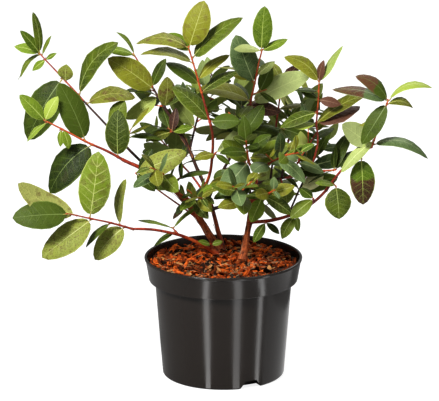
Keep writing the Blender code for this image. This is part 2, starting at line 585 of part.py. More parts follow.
def turned_body(name, outline, finish):
    """Spin an outline of (radius, height) round the upright axis and close its two round ends."""
    points = []
    steps = ROUND_STEPS
    for step in range(steps):
        turn = 2 * math.pi * (step + FIRST_EDGE) / steps
        out =Vector((math.cos(turn), math.sin(turn), 0))
        points += [out * radius + Vector((0, 0, height)) for radius, height in outline]
    count = len(outline)
    faces = []
    for step in range(steps):
        here = step * count
        there = (step + 1) % steps * count
        for index in range(count - 1):
            faces.append((here + index, there + index, there + index + 1, here + index + 1))
    faces.append(tuple(step * count for step in reversed(range(steps))))
    faces.append(tuple(step * count + count - 1 for step in range(steps)))
    return add_object(name, points, faces, finish)


def wedge(name, heading, inner, outer, half_foot, half_top, low, high):
    """Return a block between two radii that narrows upwards, centred on a heading."""
    points = []
    spans = NOTCH_SPANS
    turn = Matrix.Rotation(math.radians(heading), 3, "Z")
    for radius in (inner, outer):
        for height, half in ((low, half_foot), (high, half_top)):
            for index in range(spans + 1):
                across = half * (2 * index / spans - 1)
                points.append(turn @ Vector((math.sqrt(radius ** 2 - across ** 2), across, height)))
    row = spans + 1
    faces = []
    for index in range(spans):
        a, b = index, index + 1
        faces += [(a, b, b + row, a + row), (a + 2 * row, a + 3 * row, b + 3 * row, b + 2 * row)]
        faces += [(a, a + 2 * row, b + 2 * row, b), (a + row, b + row, b + 3 * row, a + 3 * row)]
    faces += [(0, row, 3 * row, 2 * row), (spans, spans + 2 * row, spans + 3 * row, spans + row)]
    made = add_object(name, points, faces)
    bm = bmesh.new()
    bm.from_mesh(made.data)
    bmesh.ops.recalc_face_normals(bm, faces=bm.faces)
    bm.to_mesh(made.data)
    bm.free()
    return made


def notch_wedges(name, margin, outer, foot):
    """Return the three drainage notches as blocks, each wall moved out by a margin."""
    wedges = []
    slope = (NOTCH_FOOT_WIDTH - NOTCH_TOP_WIDTH) / 2 / NOTCH_HEIGHT
    half_foot = NOTCH_FOOT_WIDTH / 2 + margin * math.hypot(1, slope)
    inner = BODY_FOOT_RADIUS - NOTCH_DEPTH - margin
    top = NOTCH_HEIGHT + margin
    for index, heading in enumerate(NOTCH_HEADINGS):
        wedges.append(wedge(f"{name}_{index}", heading, inner, outer, half_foot - slope * foot,
                            half_foot - slope * top, foot, top))
    return wedges


def build_pot(finish):
    """Build the pot: one moulded wall with a wider collar and three drainage notches in its foot."""
    pot = turned_body("nursery_pot", pot_outline(), finish)
    combine(pot, notch_wedges("alcove", NOTCH_WALL, BODY_FOOT_RADIUS - 0.7, 2.0), "UNION")
    combine(pot, notch_wedges("notch", 0, RIM_RADIUS, -1.0), "DIFFERENCE")
    pot.data.shade_smooth()
    pot.data.set_sharp_from_angle(angle=math.radians(30))


def build_root_ball(finish):
    """Build the compost that fills the pot's body, clear of the notches' walls."""
    low = FLOOR + GAP
    high = MULCH_TOP - MULCH_DEPTH
    outline = [(CENTRE_RADIUS, low), (inner_radius(low) - GAP, low), (inner_radius(high) - GAP, high)]
    outline += [(CENTRE_RADIUS, high)]
    ball = turned_body("root_ball", outline, finish)
    combine(ball, notch_wedges("alcove_room", NOTCH_WALL + GAP, RIM_RADIUS, 0), "DIFFERENCE")


def build_mulch(finish):
    """Build the layer of bark mulch: flat where stems stand in it and uneven elsewhere."""
    draw = random.Random("bark mulch")
    low = MULCH_TOP - MULCH_DEPTH + GAP
    shoulder = POT_HEIGHT - COLLAR_DEPTH
    brim = MULCH_TOP - MULCH_DIP
    outline = [(MULCH_RINGS[-1], low), (inner_radius(low) - GAP, low)]
    outline += [(inner_radius(shoulder - WALL) - GAP, shoulder - WALL)]
    outline += [(inner_radius(shoulder + WALL) - GAP, shoulder + WALL), (inner_radius(brim) - GAP, brim)]
    outline += [(radius, MULCH_TOP) for radius in MULCH_RINGS]
    layer = turned_body("bark_mulch", outline, finish)
    for vertex in layer.data.vertices:
        x, y, z = vertex.co / MM
        near = min(math.hypot(x - foot.x, y - foot.y) for foot in GROUND.values())
        if z > MULCH_TOP - GAP and near > FOOT_CLEARING and math.hypot(x, y) > CENTRE_RADIUS:
            vertex.co.z -= draw.uniform(0, MULCH_DIP) * MM


def build_limbs(arcs, growth, finish):
    """Build the woody stems and boughs, each one tapering limb."""
    for limb in LIMBS:
        foot, normal = seat(limb, arcs)
        arcs[limb.name] = bow(foot, limb)
        flare = FLARE_SHARE if limb.parent is None else 0
        shape = tube(arcs[limb.name], normal, LIMB_SIDES, LIMB_STEPS, flare=flare)
        growth.others.append(tree_of(shape))
        add_object(limb.name, *shape, finish).data.shade_smooth()


def build_sprays(arcs, growth, finish):
    """Build the leafy sprays, each fused into one solid."""
    stems = {}
    for spray in SPRAYS:
        foot, normal = seat(spray, arcs)
        arcs[spray.name] = bow(foot, spray)
        stems[spray.name] = tube(arcs[spray.name], normal, SPRAY_SIDES, SPRAY_STEPS, BUD)
        growth.others.append(tree_of(stems[spray.name]))
    for spray in SPRAYS:
        shapes = spray_shapes(spray, arcs[spray.name], stems[spray.name], growth)
        made = add_object(spray.name, *shapes[0], finish)
        parts = [add_object(f"{spray.name}_{index}", *shape) for index, shape in enumerate(shapes[1:])]
        combine(made, parts, "UNION")


def main():
    """Clear the scene and build the potted shrub."""
    for stale in list(bpy.data.objects):
        bpy.data.objects.remove(stale)
    build_pot(material("black_pot_plastic", (0.045, 0.038, 0.034), 0.42))
    build_root_ball(material("peat_compost", (0.05, 0.03, 0.02), 0.95))
    build_mulch(material("bark_mulch", (0.28, 0.10, 0.04), 0.9))
    arcs = {}
    growth = Growth()
    build_limbs(arcs, growth, material("stem_bark", (0.22, 0.08, 0.04), 0.7))
    build_sprays(arcs, growth, material("foliage", (0.12, 0.20, 0.05), 0.5))


if __name__ == "__main__":
    main()
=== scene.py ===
"""Honeyberry shrub in a three-litre nursery pot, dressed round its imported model.

Tables are in millimetres and degrees, as in the shrub's own source: a heading of 0 points right,
90 away and 270 towards the viewer, and a rise of 90 points straight up. Meshes are in metres.
"""
import json
import math
import random
from collections import namedtuple

import bpy
from mathutils import Matrix, Vector, noise
from mathutils.bvhtree import BVHTree

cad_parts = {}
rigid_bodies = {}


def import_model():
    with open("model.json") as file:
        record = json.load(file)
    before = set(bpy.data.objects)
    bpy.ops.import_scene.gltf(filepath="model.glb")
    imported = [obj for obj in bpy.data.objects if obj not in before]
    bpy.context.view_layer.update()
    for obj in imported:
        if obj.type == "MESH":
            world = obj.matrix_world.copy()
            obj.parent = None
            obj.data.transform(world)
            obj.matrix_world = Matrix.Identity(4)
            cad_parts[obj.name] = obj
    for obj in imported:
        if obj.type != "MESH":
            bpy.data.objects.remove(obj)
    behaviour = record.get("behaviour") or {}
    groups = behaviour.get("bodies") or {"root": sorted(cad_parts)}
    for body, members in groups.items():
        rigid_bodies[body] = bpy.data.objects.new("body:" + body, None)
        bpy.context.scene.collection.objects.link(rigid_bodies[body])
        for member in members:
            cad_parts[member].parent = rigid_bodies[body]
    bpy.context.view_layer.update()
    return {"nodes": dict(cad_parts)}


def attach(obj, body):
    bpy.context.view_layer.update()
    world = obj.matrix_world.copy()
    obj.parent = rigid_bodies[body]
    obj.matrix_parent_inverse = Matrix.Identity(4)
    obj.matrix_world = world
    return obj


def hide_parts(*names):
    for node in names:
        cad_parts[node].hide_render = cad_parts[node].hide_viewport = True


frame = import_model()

MM = 0.001


# Camera. It stands 4.5 m in front of the shrub, a little above it, and looks down on it
# through a long lens.
VIEW_DISTANCE = 4.5
VIEW_RISE = math.radians(15.6)
VIEW_WIDTH = 0.526
VIEW_CENTRE = Vector((-0.0046, 0, 0.2153))

camera_data = bpy.data.cameras.new("camera")
camera_data.sensor_width = 36
camera_data.lens = 36 * VIEW_DISTANCE / VIEW_WIDTH
camera = bpy.data.objects.new("camera", camera_data)
camera.location = VIEW_CENTRE + Vector((0, -math.cos(VIEW_RISE), math.sin(VIEW_RISE))) * VIEW_DISTANCE
camera.rotation_euler = (math.pi / 2 - VIEW_RISE, 0, 0)
bpy.context.collection.objects.link(camera)
bpy.context.scene.camera = camera


# Studio. A white table under a white sky, a large soft light high on the left, a weaker one on
# the right and one behind. The camera sees the table and the sky brighter than the shrub does.
SKY_STRENGTH = 0.26
SKY_SEEN_BRIGHTER = 0.74
TABLE_SEEN_BRIGHTER = 0.86


def colour(red, green, blue):
    """Return a linear colour from its display values of 0 to 255."""
    return tuple(((v / 255 + 0.055) / 1.055) ** 2.4 if v > 10 else v / 255 / 12.92
                 for v in (red, green, blue)) + (1.0,)


def add_node(tree, kind, values=None, **settings):
    """Add a node with its settings, and set or link its sockets."""
    made = tree.nodes.new("ShaderNode" + kind)
    for name, value in settings.items():
        setattr(made, name, value)
    for socket, value in (values or {}).items():
        if isinstance(value, bpy.types.NodeSocket):
            tree.links.new(value, made.inputs[socket])
        else:
            made.inputs[socket].default_value = value
    return made


def blank_material(name, **sockets):
    """Return a new material, its node tree and its shader, with plain values on the shader."""
    made = bpy.data.materials.new(name)
    made.use_nodes = True
    shader = made.node_tree.nodes["Principled BSDF"]
    for socket, value in sockets.items():
        shader.inputs[socket.replace("_", " ")].default_value = value
    return made, made.node_tree, shader


def feed(tree, shader, **sockets):
    """Link patterns to a shader's sockets."""
    for socket, value in sockets.items():
        tree.links.new(value, shader.inputs[socket.replace("_", " ")])


def maths(tree, operation, first, second=0.0, third=0.0):
    """Return the result of one sum."""
    return add_node(tree, "Math", {0: first, 1: second, 2: third}, operation=operation).outputs[0]


def blend(tree, share, first, second):
    """Return a mix of two colours."""
    return add_node(tree, "Mix", {0: share, 6: first, 7: second}, data_type="RGBA").outputs[2]


def pick(*made):
    """Select these objects alone, with the first as the active one, or select nothing."""
    bpy.ops.object.select_all(action="DESELECT")
    for each in made:
        each.select_set(True)
    if made:
        bpy.context.view_layer.objects.active = made[0]


def flat_sheet(name, size, finish):
    """Lay a square sheet on the ground."""
    pick()
    bpy.ops.mesh.primitive_plane_add(size=size, location=(0, 0, 0))
    made = bpy.context.object
    made.name = name
    made.data.materials.append(finish)
    return made


def area_light(name, place, aim, side, power):
    """Hang a square soft light that the camera doesn't see."""
    data = bpy.data.lights.new(name, "AREA")
    data.size = side
    data.energy = power
    lamp = bpy.data.objects.new(name, data)
    lamp.location = place
    lamp.rotation_euler = (Vector(aim) - Vector(place)).to_track_quat("-Z", "Y").to_euler()
    lamp.visible_camera = False
    bpy.context.collection.objects.link(lamp)


world = bpy.data.worlds.new("white_sky")
world.use_nodes = True
tree = world.node_tree
background = tree.nodes["Background"]
background.inputs["Color"].default_value = (1, 1, 1, 1)
to_camera = add_node(tree, "LightPath").outputs["Is Camera Ray"]
feed(tree, background, Strength=maths(tree, "MULTIPLY_ADD", to_camera, SKY_SEEN_BRIGHTER, SKY_STRENGTH))
bpy.context.scene.world = world
bpy.context.scene.view_settings.view_transform = "Standard"
bpy.context.scene.view_settings.gamma = 0.9
area_light("key_light", (-1.1, -1.5, 1.9), (0, 0, 0.25), 0.7, 80)
area_light("fill_light", (1.6, -1.2, 1.0), (0, 0, 0.2), 1.0, 7)
area_light("rear_light", (0.5, 1.8, 1.7), (0, 0, 0.25), 1.2, 16)

white, tree, shader = blank_material("white_table", Roughness=0.9, Emission_Color=(1, 1, 1, 1))
grit = add_node(tree, "TexNoise", {"Scale": 40.0, "Detail": 3.0}).outputs["Fac"]
to_camera = add_node(tree, "LightPath").outputs["Is Camera Ray"]
feed(tree, shader, Base_Color=blend(tree, grit, (0.29, 0.29, 0.29, 1), (0.33, 0.33, 0.33, 1)),
     Emission_Strength=maths(tree, "MULTIPLY", to_camera, TABLE_SEEN_BRIGHTER))
flat_sheet("floor", 16, white)

# Gleams on the pot. Its wall mirrors the table in front of it, so an upright gleam is a strip of
# light on the table: the part that the wall mirrors between two headings. Only a mirror sees it.
GLEAM_FOOT = 0.074
GLEAM_REACH = 0.32
GLEAM_HEIGHT = 0.0008
GLEAMS = ((-14.5, 4.6, 5.0), (12.2, 6.4, 3.2), (33.5, 4.4, 4.6), (62, 44, 0.7))

for index, (turn, spread, strength) in enumerate(GLEAMS):
    glow = blank_material(f"gleam_{index}", Base_Color=(0, 0, 0, 1), Emission_Color=(1, 1, 1, 1),
                          Emission_Strength=strength)[0]
    strip = flat_sheet(f"gleam_{index}", 1, glow)
    for vertex in strip.data.vertices:
        heading = math.radians(turn + math.copysign(spread / 2, vertex.co.x))
        reach = 0 if vertex.co.y < 0 else GLEAM_REACH
        vertex.co = (GLEAM_FOOT * math.sin(heading) + reach * math.sin(2 * heading),
                     -GLEAM_FOOT * math.cos(heading) - reach * math.cos(2 * heading), GLEAM_HEIGHT)
    strip.visible_camera = strip.visible_diffuse = strip.visible_shadow = False


# Nursery pot. One thin wall of black polypropylene, moulded with a wide collar, a rounded lip
# and three drainage notches at its foot, each with its own small alcove inside.
GAP = 0.3
RIM_RADIUS = 95.0
POT_HEIGHT = 146.0
LIP_OUT = 1.2
LIP_DEPTH = 3.5
COLLAR_DEPTH = 28.0
COLLAR_FOOT_RADIUS = 89.5
BODY_TOP_RADIUS = 82.4
BODY_FOOT_RADIUS = 73.4
WALL = 2.0
POT_FLOOR = 2.5
POT_SIDES = 144
NOTCH_HEADINGS = (-63.0, 57.0, 177.0)
NOTCH_HEIGHT = 10.0
NOTCH_FOOT_WIDTH = 29.0
NOTCH_TOP_WIDTH = 14.0
NOTCH_DEPTH = 15.0
NOTCH_WALL = 2.0


def edit_all(made):
    """Select one object alone and open all of it in edit mode."""
    pick(made)
    bpy.ops.object.mode_set(mode="EDIT")
    bpy.ops.mesh.select_all(action="SELECT")


def turned(name, outline, sides):
    """Raise a closed round body from a disc, one extrusion for each (radius, height)."""
    radius, height = outline[0]
    pick()
    bpy.ops.mesh.primitive_circle_add(vertices=sides, radius=radius * MM, fill_type="NGON",
                                      location=(0, 0, height * MM))
    made = bpy.context.object
    made.name = name
    bpy.ops.object.transform_apply(location=True, rotation=True, scale=True)
    edit_all(made)
    for wider, higher in outline[1:]:
        bpy.ops.mesh.extrude_region_move(TRANSFORM_OT_translate={"value": (0, 0, (higher - height) * MM)})
        bpy.ops.transform.resize(value=(wider / radius, wider / radius, 1), center_override=(0, 0, higher * MM))
        radius, height = wider, higher
    bpy.ops.mesh.select_all(action="SELECT")
    bpy.ops.mesh.normals_make_consistent(inside=False)
    bpy.ops.object.mode_set(mode="OBJECT")
    return made


def inner_radius(height):
    """Return the radius of the pot's inner wall at a height."""
    shoulder = POT_HEIGHT - COLLAR_DEPTH
    if height <= shoulder - WALL:
        return BODY_FOOT_RADIUS + (BODY_TOP_RADIUS - BODY_FOOT_RADIUS) * height / shoulder - WALL
    share = (height - shoulder) / COLLAR_DEPTH
    return COLLAR_FOOT_RADIUS + (RIM_RADIUS - LIP_OUT - COLLAR_FOOT_RADIUS) * share - WALL


def arc_round(centre, radius, start, end, steps):
    """Return the points of a rounded corner in the pot's section."""
    turns = [math.radians(start + (end - start) * step / steps) for step in range(steps + 1)]
    return [(centre[0] + radius * math.cos(turn), centre[1] + radius * math.sin(turn)) for turn in turns]


def notch_blocks(name, margin, inner, outer, low):
    """Return three tapered blocks at the pot's foot, each wall moved out by a margin."""
    slope = (NOTCH_FOOT_WIDTH - NOTCH_TOP_WIDTH) / 2 / NOTCH_HEIGHT
    top = NOTCH_HEIGHT + margin
    half_foot = NOTCH_FOOT_WIDTH / 2 + margin * math.hypot(1, slope) - slope * low
    half_top = half_foot - slope * (top - low)
    blocks = []
    for heading in NOTCH_HEADINGS:
        pick()
        bpy.ops.mesh.primitive_cube_add(size=1)
        block = bpy.context.object
        edit_all(block)
        bpy.ops.transform.resize(value=((outer - inner) * MM, half_foot * 2 * MM, (top - low) * MM))
        bpy.ops.transform.translate(value=((outer + inner) / 2 * MM, 0, (top + low) / 2 * MM))
        bpy.ops.object.mode_set(mode="OBJECT")
        for vertex in block.data.vertices:
            if vertex.co.z > (top + low) / 2 * MM:
                vertex.co.y *= half_top / half_foot
        block.data.transform(Matrix.Rotation(math.radians(heading), 4, "Z"))
        blocks.append(block)
    pick(*blocks)
    bpy.ops.object.join()
    blocks[0].name = name
    return blocks[0]


def carve(made, tool, operation):
    """Join, cut or trim an object with another, which is then thrown away."""
    boolean = made.modifiers.new(operation, "BOOLEAN")
    boolean.operation = operation
    boolean.object = tool
    pick(made)
    bpy.ops.object.modifier_apply(modifier=operation)
    bpy.data.objects.remove(tool)


pot_shoulder = POT_HEIGHT - COLLAR_DEPTH
lip_foot = POT_HEIGHT - LIP_DEPTH
pot_section = [(20, 0)] + arc_round((BODY_FOOT_RADIUS - 3, 3), 3, -90, 0, 5)
pot_section += [(BODY_TOP_RADIUS, pot_shoulder - 0.8)]
pot_section += [(BODY_TOP_RADIUS + 0.8, pot_shoulder)]
pot_section += arc_round((COLLAR_FOOT_RADIUS - 0.7, pot_shoulder + 0.7), 0.7, -90, 0, 3)
pot_section += [(RIM_RADIUS - LIP_OUT - 0.3, lip_foot - 0.5), (RIM_RADIUS - LIP_OUT, lip_foot)]
pot_section += [(RIM_RADIUS - 0.4, lip_foot + 0.5)]
pot_section += arc_round((RIM_RADIUS - 1.1, POT_HEIGHT - 1.1), 1.1, 0, 90, 4)
pot_section += arc_round((RIM_RADIUS - 2.3, POT_HEIGHT - 0.9), 0.9, 90, 180, 3)
pot_section += [(inner_radius(height), height) for height in (POT_HEIGHT - 3, pot_shoulder + WALL)]
pot_section += [(inner_radius(height), height) for height in (pot_shoulder - WALL, POT_FLOOR)]
pot_section += [(20, POT_FLOOR)]
pot = turned("pot", pot_section, POT_SIDES)
alcoves = notch_blocks("alcoves", NOTCH_WALL, BODY_FOOT_RADIUS - NOTCH_DEPTH - NOTCH_WALL, 90, 1.2)
within_wall = turned("within_wall", [(BODY_FOOT_RADIUS - 0.7, -5), (BODY_FOOT_RADIUS + 0.4, 30)], POT_SIDES)
carve(alcoves, within_wall, "INTERSECT")
carve(pot, alcoves, "UNION")
carve(pot, notch_blocks("notches", 0, BODY_FOOT_RADIUS - NOTCH_DEPTH, 100, -1), "DIFFERENCE")
bpy.ops.object.shade_smooth_by_angle(angle=math.radians(32))


def mottle(tree, vector, scale, detail):
    """Return a soft random pattern of values."""
    return add_node(tree, "TexNoise", {"Vector": vector, "Scale": scale, "Detail": detail}).outputs["Fac"]


def bumps(tree, height, strength, distance, **below):
    """Return the normal of a surface that follows a height pattern."""
    values = {"Height": height, "Strength": strength, "Distance": distance, **below}
    return add_node(tree, "Bump", values).outputs[0]


plastic, tree, shader = blank_material("black_plastic")
seen = add_node(tree, "TexCoord").outputs["Object"]
flow = add_node(tree, "Mapping", {"Vector": seen, "Scale": (55, 55, 2.2)}).outputs[0]
wavy = bumps(tree, mottle(tree, flow, 1.0, 3.0), 0.10, 0.002)
haze = mottle(tree, seen, 14.0, 6.0)
feed(tree, shader, Base_Color=blend(tree, haze, colour(36, 30, 26), colour(44, 38, 34)),
     Roughness=add_node(tree, "MapRange", {0: haze, 3: 0.14, 4: 0.22}).outputs[0],
     Normal=bumps(tree, mottle(tree, seen, 900.0, 2.0), 0.06, 0.0003, Normal=wavy))
pot.data.materials.append(plastic)
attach(pot, "root")
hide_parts("nursery_pot")


# Compost. Moist dark peat that fills the pot's body below the bark, pressed in by hand round the
# roots when the shrub was potted.
peat, tree, shader = blank_material("peat", Roughness=0.95)
crumbs = mottle(tree, add_node(tree, "TexCoord").outputs["Object"], 300.0, 6.0)
feed(tree, shader, Base_Color=blend(tree, crumbs, colour(28, 18, 12), colour(70, 48, 34)),
     Normal=bumps(tree, crumbs, 0.6, 0.002))
root_ball = frame["nodes"]["root_ball"]
root_ball.data.materials.clear()
root_ball.data.materials.append(peat)


# Bark mulch. Chipped conifer bark, orange-brown and dark brown with a few tan splinters and pale
# fibres, spread by hand over the compost up to 8 mm below the rim.
MULCH_TOP = 138.0
MULCH_DEPTH = 24.0
MULCH_DIP = 4.0
CHIP_LAYER = 3.2
BED_SIDES = 96
BED_EDGE = 88
CHIP_COUNT = 1250
CHIP_SPREAD = 90
CHIP_MIX = (44, 34, 14, 8)
FIBRE_COUNT = 90
FIBRE_SPREAD = 82
FIBRE_RINGS = 7


class Heap:
    """Many small shapes gathered into one mesh."""

    def __init__(self):
        self.points = []
        self.faces = []
        self.slots = []
        self.corners = []
        self.grain = []

    def add(self, points, faces, slots, grain=None, corners=None):
        """Add a shape: its points, its faces, a slot for each face, and its pattern values."""
        start = len(self.points)
        self.points += points
        self.faces += [tuple(start + corner for corner in face) for face in faces]
        self.slots += slots if isinstance(slots, list) else [slots] * len(faces)
        self.grain += grain or [(0, 0, 0)] * len(points)
        if corners:
            self.corners += [corners[corner] for face in faces for corner in face]
        else:
            self.corners += [(0, 0)] * sum(len(face) for face in faces)

    def build(self, name, materials):
        """Return the heap as one smooth mesh object at the origin."""
        mesh = bpy.data.meshes.new(name)
        mesh.from_pydata([point * MM for point in self.points], [], self.faces)
        for finish in materials:
            mesh.materials.append(finish)
        mesh.polygons.foreach_set("material_index", self.slots)
        mesh.uv_layers.new(name="blade").uv.foreach_set("vector", [v for pair in self.corners for v in pair])
        pattern = mesh.attributes.new("grain", "FLOAT_VECTOR", "POINT")
        pattern.data.foreach_set("vector", [v for triple in self.grain for v in triple])
        mesh.shade_smooth()
        mesh.set_sharp_from_angle(angle=math.radians(60))
        made = bpy.data.objects.new(name, mesh)
        bpy.context.collection.objects.link(made)
        return made


def tube_faces(rings, sides, pointed=False):
    """Return the faces of a closed tube of rings: its foot, its sides and a flat or pointed end."""
    last = (rings - 1) * sides
    faces = [tuple(reversed(range(sides)))]
    faces += [(low + i, low + (i + 1) % sides, low + sides + (i + 1) % sides, low + sides + i)
              for low in range(0, last, sides) for i in range(sides)]
    if pointed:
        return faces + [(last + i, last + (i + 1) % sides, last + sides) for i in range(sides)]
    return faces + [tuple(range(last, last + sides))]


def bark_chip(draw, place, turn, lift, roll, length, width, thick):
    """Return one split chip of bark: a long uneven plate with a smaller top face."""
    corners = draw.choice((5, 6, 6, 7))
    frame_of_chip = Matrix.Rotation(turn, 3, "Z") @ Matrix.Rotation(lift, 3, "Y") @ Matrix.Rotation(roll, 3, "X")
    lower, upper = [], []
    for index in range(corners):
        angle = 2 * math.pi * (index + draw.uniform(-0.3, 0.3)) / corners
        reach = draw.uniform(0.75, 1.1)
        x, y = math.cos(angle) * length / 2 * reach, math.sin(angle) * width / 2 * reach
        lower.append(place + frame_of_chip @ Vector((x, y, -thick / 2)))
        upper.append(place + frame_of_chip @ Vector((x * draw.uniform(0.75, 0.98), y * draw.uniform(0.6, 0.95),
                                                     thick / 2 * draw.uniform(0.5, 1.3))))
    return lower + upper, tube_faces(2, corners)


def bed_height(x, y):
    """Return the height of the bark bed under its loose chips."""
    swell = noise.noise(Vector((x, y, 3)) * 0.035)
    return MULCH_TOP - CHIP_LAYER + 2.2 * swell + 0.8 * noise.noise(Vector((x, y, 9)) * 0.16)


bed_low, bed_top = MULCH_TOP - MULCH_DEPTH + GAP, MULCH_TOP - MULCH_DIP
bed_section = [(20, bed_low)]
bed_section += [(inner_radius(height) - GAP, height)
                for height in (bed_low, pot_shoulder - WALL, pot_shoulder + WALL, bed_top)]
bed_section += [(86 - 4 * step, bed_top) for step in range(21)]
mulch_bed = turned("mulch_bed", bed_section, BED_SIDES)
for vertex in mulch_bed.data.vertices:
    x, y, z = vertex.co / MM
    if z > bed_top - 0.01 and math.hypot(x, y) < BED_EDGE:
        vertex.co.z = bed_height(x, y) * MM
mulch_bed.data.shade_smooth()
mulch_bed.data.materials.append(peat)
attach(mulch_bed, "root")
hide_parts("bark_mulch")

draw = random.Random("bark chips")
chips = Heap()
fibres = Heap()
for index in range(CHIP_COUNT):
    radius = CHIP_SPREAD * math.sqrt(draw.random())
    heading = draw.uniform(0, 2 * math.pi)
    length = draw.uniform(4, 13) if draw.random() < 0.8 else draw.uniform(12, 20)
    width = length * draw.uniform(0.28, 0.6)
    layer = index / CHIP_COUNT
    lift = draw.gauss(0, 0.32) if draw.random() < 0.85 else draw.uniform(-0.9, 0.9)
    turn = draw.uniform(0, math.pi)
    room = inner_radius(MULCH_TOP) - 1.2 - radius
    if room < length / 2:
        turn = heading + math.pi / 2 + draw.uniform(-0.25, 0.25)
        radius = min(radius, inner_radius(MULCH_TOP) - 1.5 - width / 2 - length * length / 8 / CHIP_SPREAD)
    x, y = radius * math.cos(heading), radius * math.sin(heading)
    place = Vector((x, y, bed_height(x, y) + 0.4 + 3.4 * layer + abs(lift) * length * 0.16))
    points, faces = bark_chip(draw, place, turn, lift, draw.gauss(0, 0.35), length, width, draw.uniform(1.0, 2.6))
    slot = draw.choices(range(len(CHIP_MIX)), CHIP_MIX)[0]
    chips.add(points, faces, slot, [(index * 1.7, 0, 0)] * len(points))
for index in range(FIBRE_COUNT):
    radius = FIBRE_SPREAD * math.sqrt(draw.random())
    heading = draw.uniform(0, 2 * math.pi)
    x, y = radius * math.cos(heading), radius * math.sin(heading)
    turn, bend, length = draw.uniform(0, 2 * math.pi), draw.uniform(-1.6, 1.6), draw.uniform(8, 22)
    wide = draw.uniform(0.35, 0.8)
    base = Vector((x, y, bed_height(x, y) + draw.uniform(3.6, 5.2)))
    points = []
    for step in range(FIBRE_RINGS):
        share = step / (FIBRE_RINGS - 1)
        along = (share - 0.5) * length
        aim = turn + bend * share
        ahead = Vector((math.cos(aim), math.sin(aim), 0))
        side = Vector((-ahead.y, ahead.x, 0.3)) * wide / 2
        rib = base + ahead * along + Vector((0, 0, 0.8 * math.sin(step * 1.3 + index)))
        if math.hypot(rib.x, rib.y) > BED_EDGE:
            rib *= BED_EDGE / math.hypot(rib.x, rib.y)
            rib.z = base.z
        points += [rib - side, rib + Vector((0, 0, 0.35)), rib + side, rib - Vector((0, 0, 0.25))]
    fibres.add(points, tube_faces(FIBRE_RINGS, 4), 0)


def bark_chip_finish(name, light, dark, roughness):
    """Return split bark: two tones that follow the chip's own grain, and a rough broken face."""
    made, tree, shader = blank_material(name, Roughness=roughness, Specular_IOR_Level=0.2)
    grain = add_node(tree, "Attribute", attribute_name="grain").outputs["Vector"]
    moved = add_node(tree, "VectorMath", {0: add_node(tree, "TexCoord").outputs["Object"], 1: grain}).outputs[0]
    share = add_node(tree, "MapRange", {0: mottle(tree, moved, 170.0, 5.0), 1: 0.36, 2: 0.62}).outputs[0]
    feed(tree, shader, Base_Color=blend(tree, share, light, dark),
         Normal=bumps(tree, mottle(tree, moved, 900.0, 4.0), 0.7, 0.0008))
    return made


chip_finishes = [
    bark_chip_finish("bark_orange", colour(232, 112, 34), colour(132, 44, 4), 0.75),
    bark_chip_finish("bark_brown", colour(150, 66, 18), colour(56, 20, 2), 0.8),
    bark_chip_finish("bark_dark", colour(58, 28, 8), colour(16, 7, 2), 0.7),
    bark_chip_finish("bark_tan", colour(214, 160, 100), colour(146, 84, 38), 0.85),
]
bark_chips = chips.build("bark_chips", chip_finishes)
bark_chips.data.shade_flat()
bark_fibres = fibres.build("bark_fibres", [
    bark_chip_finish("bark_fibre", colour(205, 170, 130), colour(150, 105, 70), 0.9)])
for made in (bark_chips, bark_fibres):
    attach(made, "root")


# Woody stems. Four stems rise from the pot and fork into boughs. Old wood has thin brown bark
# that peels in strips; younger wood is smooth and red, with a swollen ring at each pair of leaves.
FIRST_NODE = 3.0
FLARE_SHARE = 0.55
FLARE_HEIGHT = 9.0

Foot = namedtuple("Foot", "x y")
Limb = namedtuple("Limb", "name parent along heading rise reach arch sway thick thin bark")
Arc = namedtuple("Arc", "foot belly tip thick thin side")
Make = namedtuple("Make", "relief sides pitch")
OLD_WOOD = Make(0.13, 18, 1.6)
YOUNG_WOOD = Make(0.07, 12, 2.2)

GROUND = {
    "left_stem": Foot(-6, 48),
    "tall_stem": Foot(-1.6, 62),
    "right_trunk": Foot(23.6, 11),
    "low_left_arm": Foot(-7.5, 35),
}

LIMBS = (
    Limb("left_stem", None, 0, 198, 54, 124, 6, 0, 8.6, 8.0, "old"),
    Limb("tall_stem", None, 0, 158, 66, 182, 10, 0, 5.4, 3.4, "brown/dark"),
    Limb("right_trunk", None, 0, 333, 80, 74, 0, 0, 8.0, 5.6, "old"),
    Limb("low_left_arm", None, 0, 205, 22, 120, 9, 0, 4.4, 3.0, "orange/red"),
    Limb("left_arm", "left_stem", 1, 195, 27, 49, 0, 0, 5.6, 4.2, "brown/red"),
    Limb("upper_left_stem", "left_stem", 0.92, 153, 36, 86, -3, 0, 3.8, 3.0, "dark"),
    Limb("red_stem", "left_stem", 0.52, 283, 56, 152, 0, 10, 4.0, 3.0, "orange/red"),
    Limb("centre_stem", "tall_stem", 0.36, 310, 55, 113, 0, 0, 3.8, 2.8, "dark"),
    Limb("right_leader", "right_trunk", 1, 261, 62, 65, 0, 7, 4.4, 3.2, "red/orange"),
    Limb("cross_branch", "tall_stem", 0.27, 299, 20, 124, 0, 0, 4.4, 3.4, "dark/red"),
    Limb("right_branch", "right_trunk", 0.68, 332, 28, 112, -11, 0, 4.4, 3.4, "red"),
    Limb("right_reach", "right_branch", 1, 339, 46, 80, 4, 0, 3.2, 2.4, "red/orange"),
    Limb("inner_branch", "right_leader", 0.5, 15, 6, 79, 0, 0, 3.2, 2.6, "dark/red"),
    Limb("right_upright", "inner_branch", 0.8, 287, 67, 70, 0, 5, 2.6, 2.2, "red"),
    Limb("middle_upright", "inner_branch", 0.2, 80, 52, 86, 0, 0, 2.6, 2.2, "dark/red"),
    Limb("rear_middle_branch", "right_trunk", 0.95, 97, 25, 128, 8, 0, 3.4, 2.4, "dark/red"),
    Limb("rear_left_branch", "tall_stem", 0.25, 116, 24, 90, 5, 0, 3.2, 2.4, "dark/red"),
    Limb("rear_right_branch", "inner_branch", 0.38, 83, 20, 78, 5, 0, 2.8, 2.2, "dark/red"),
)
BARKS = ("old", "brown", "dark", "red", "orange")
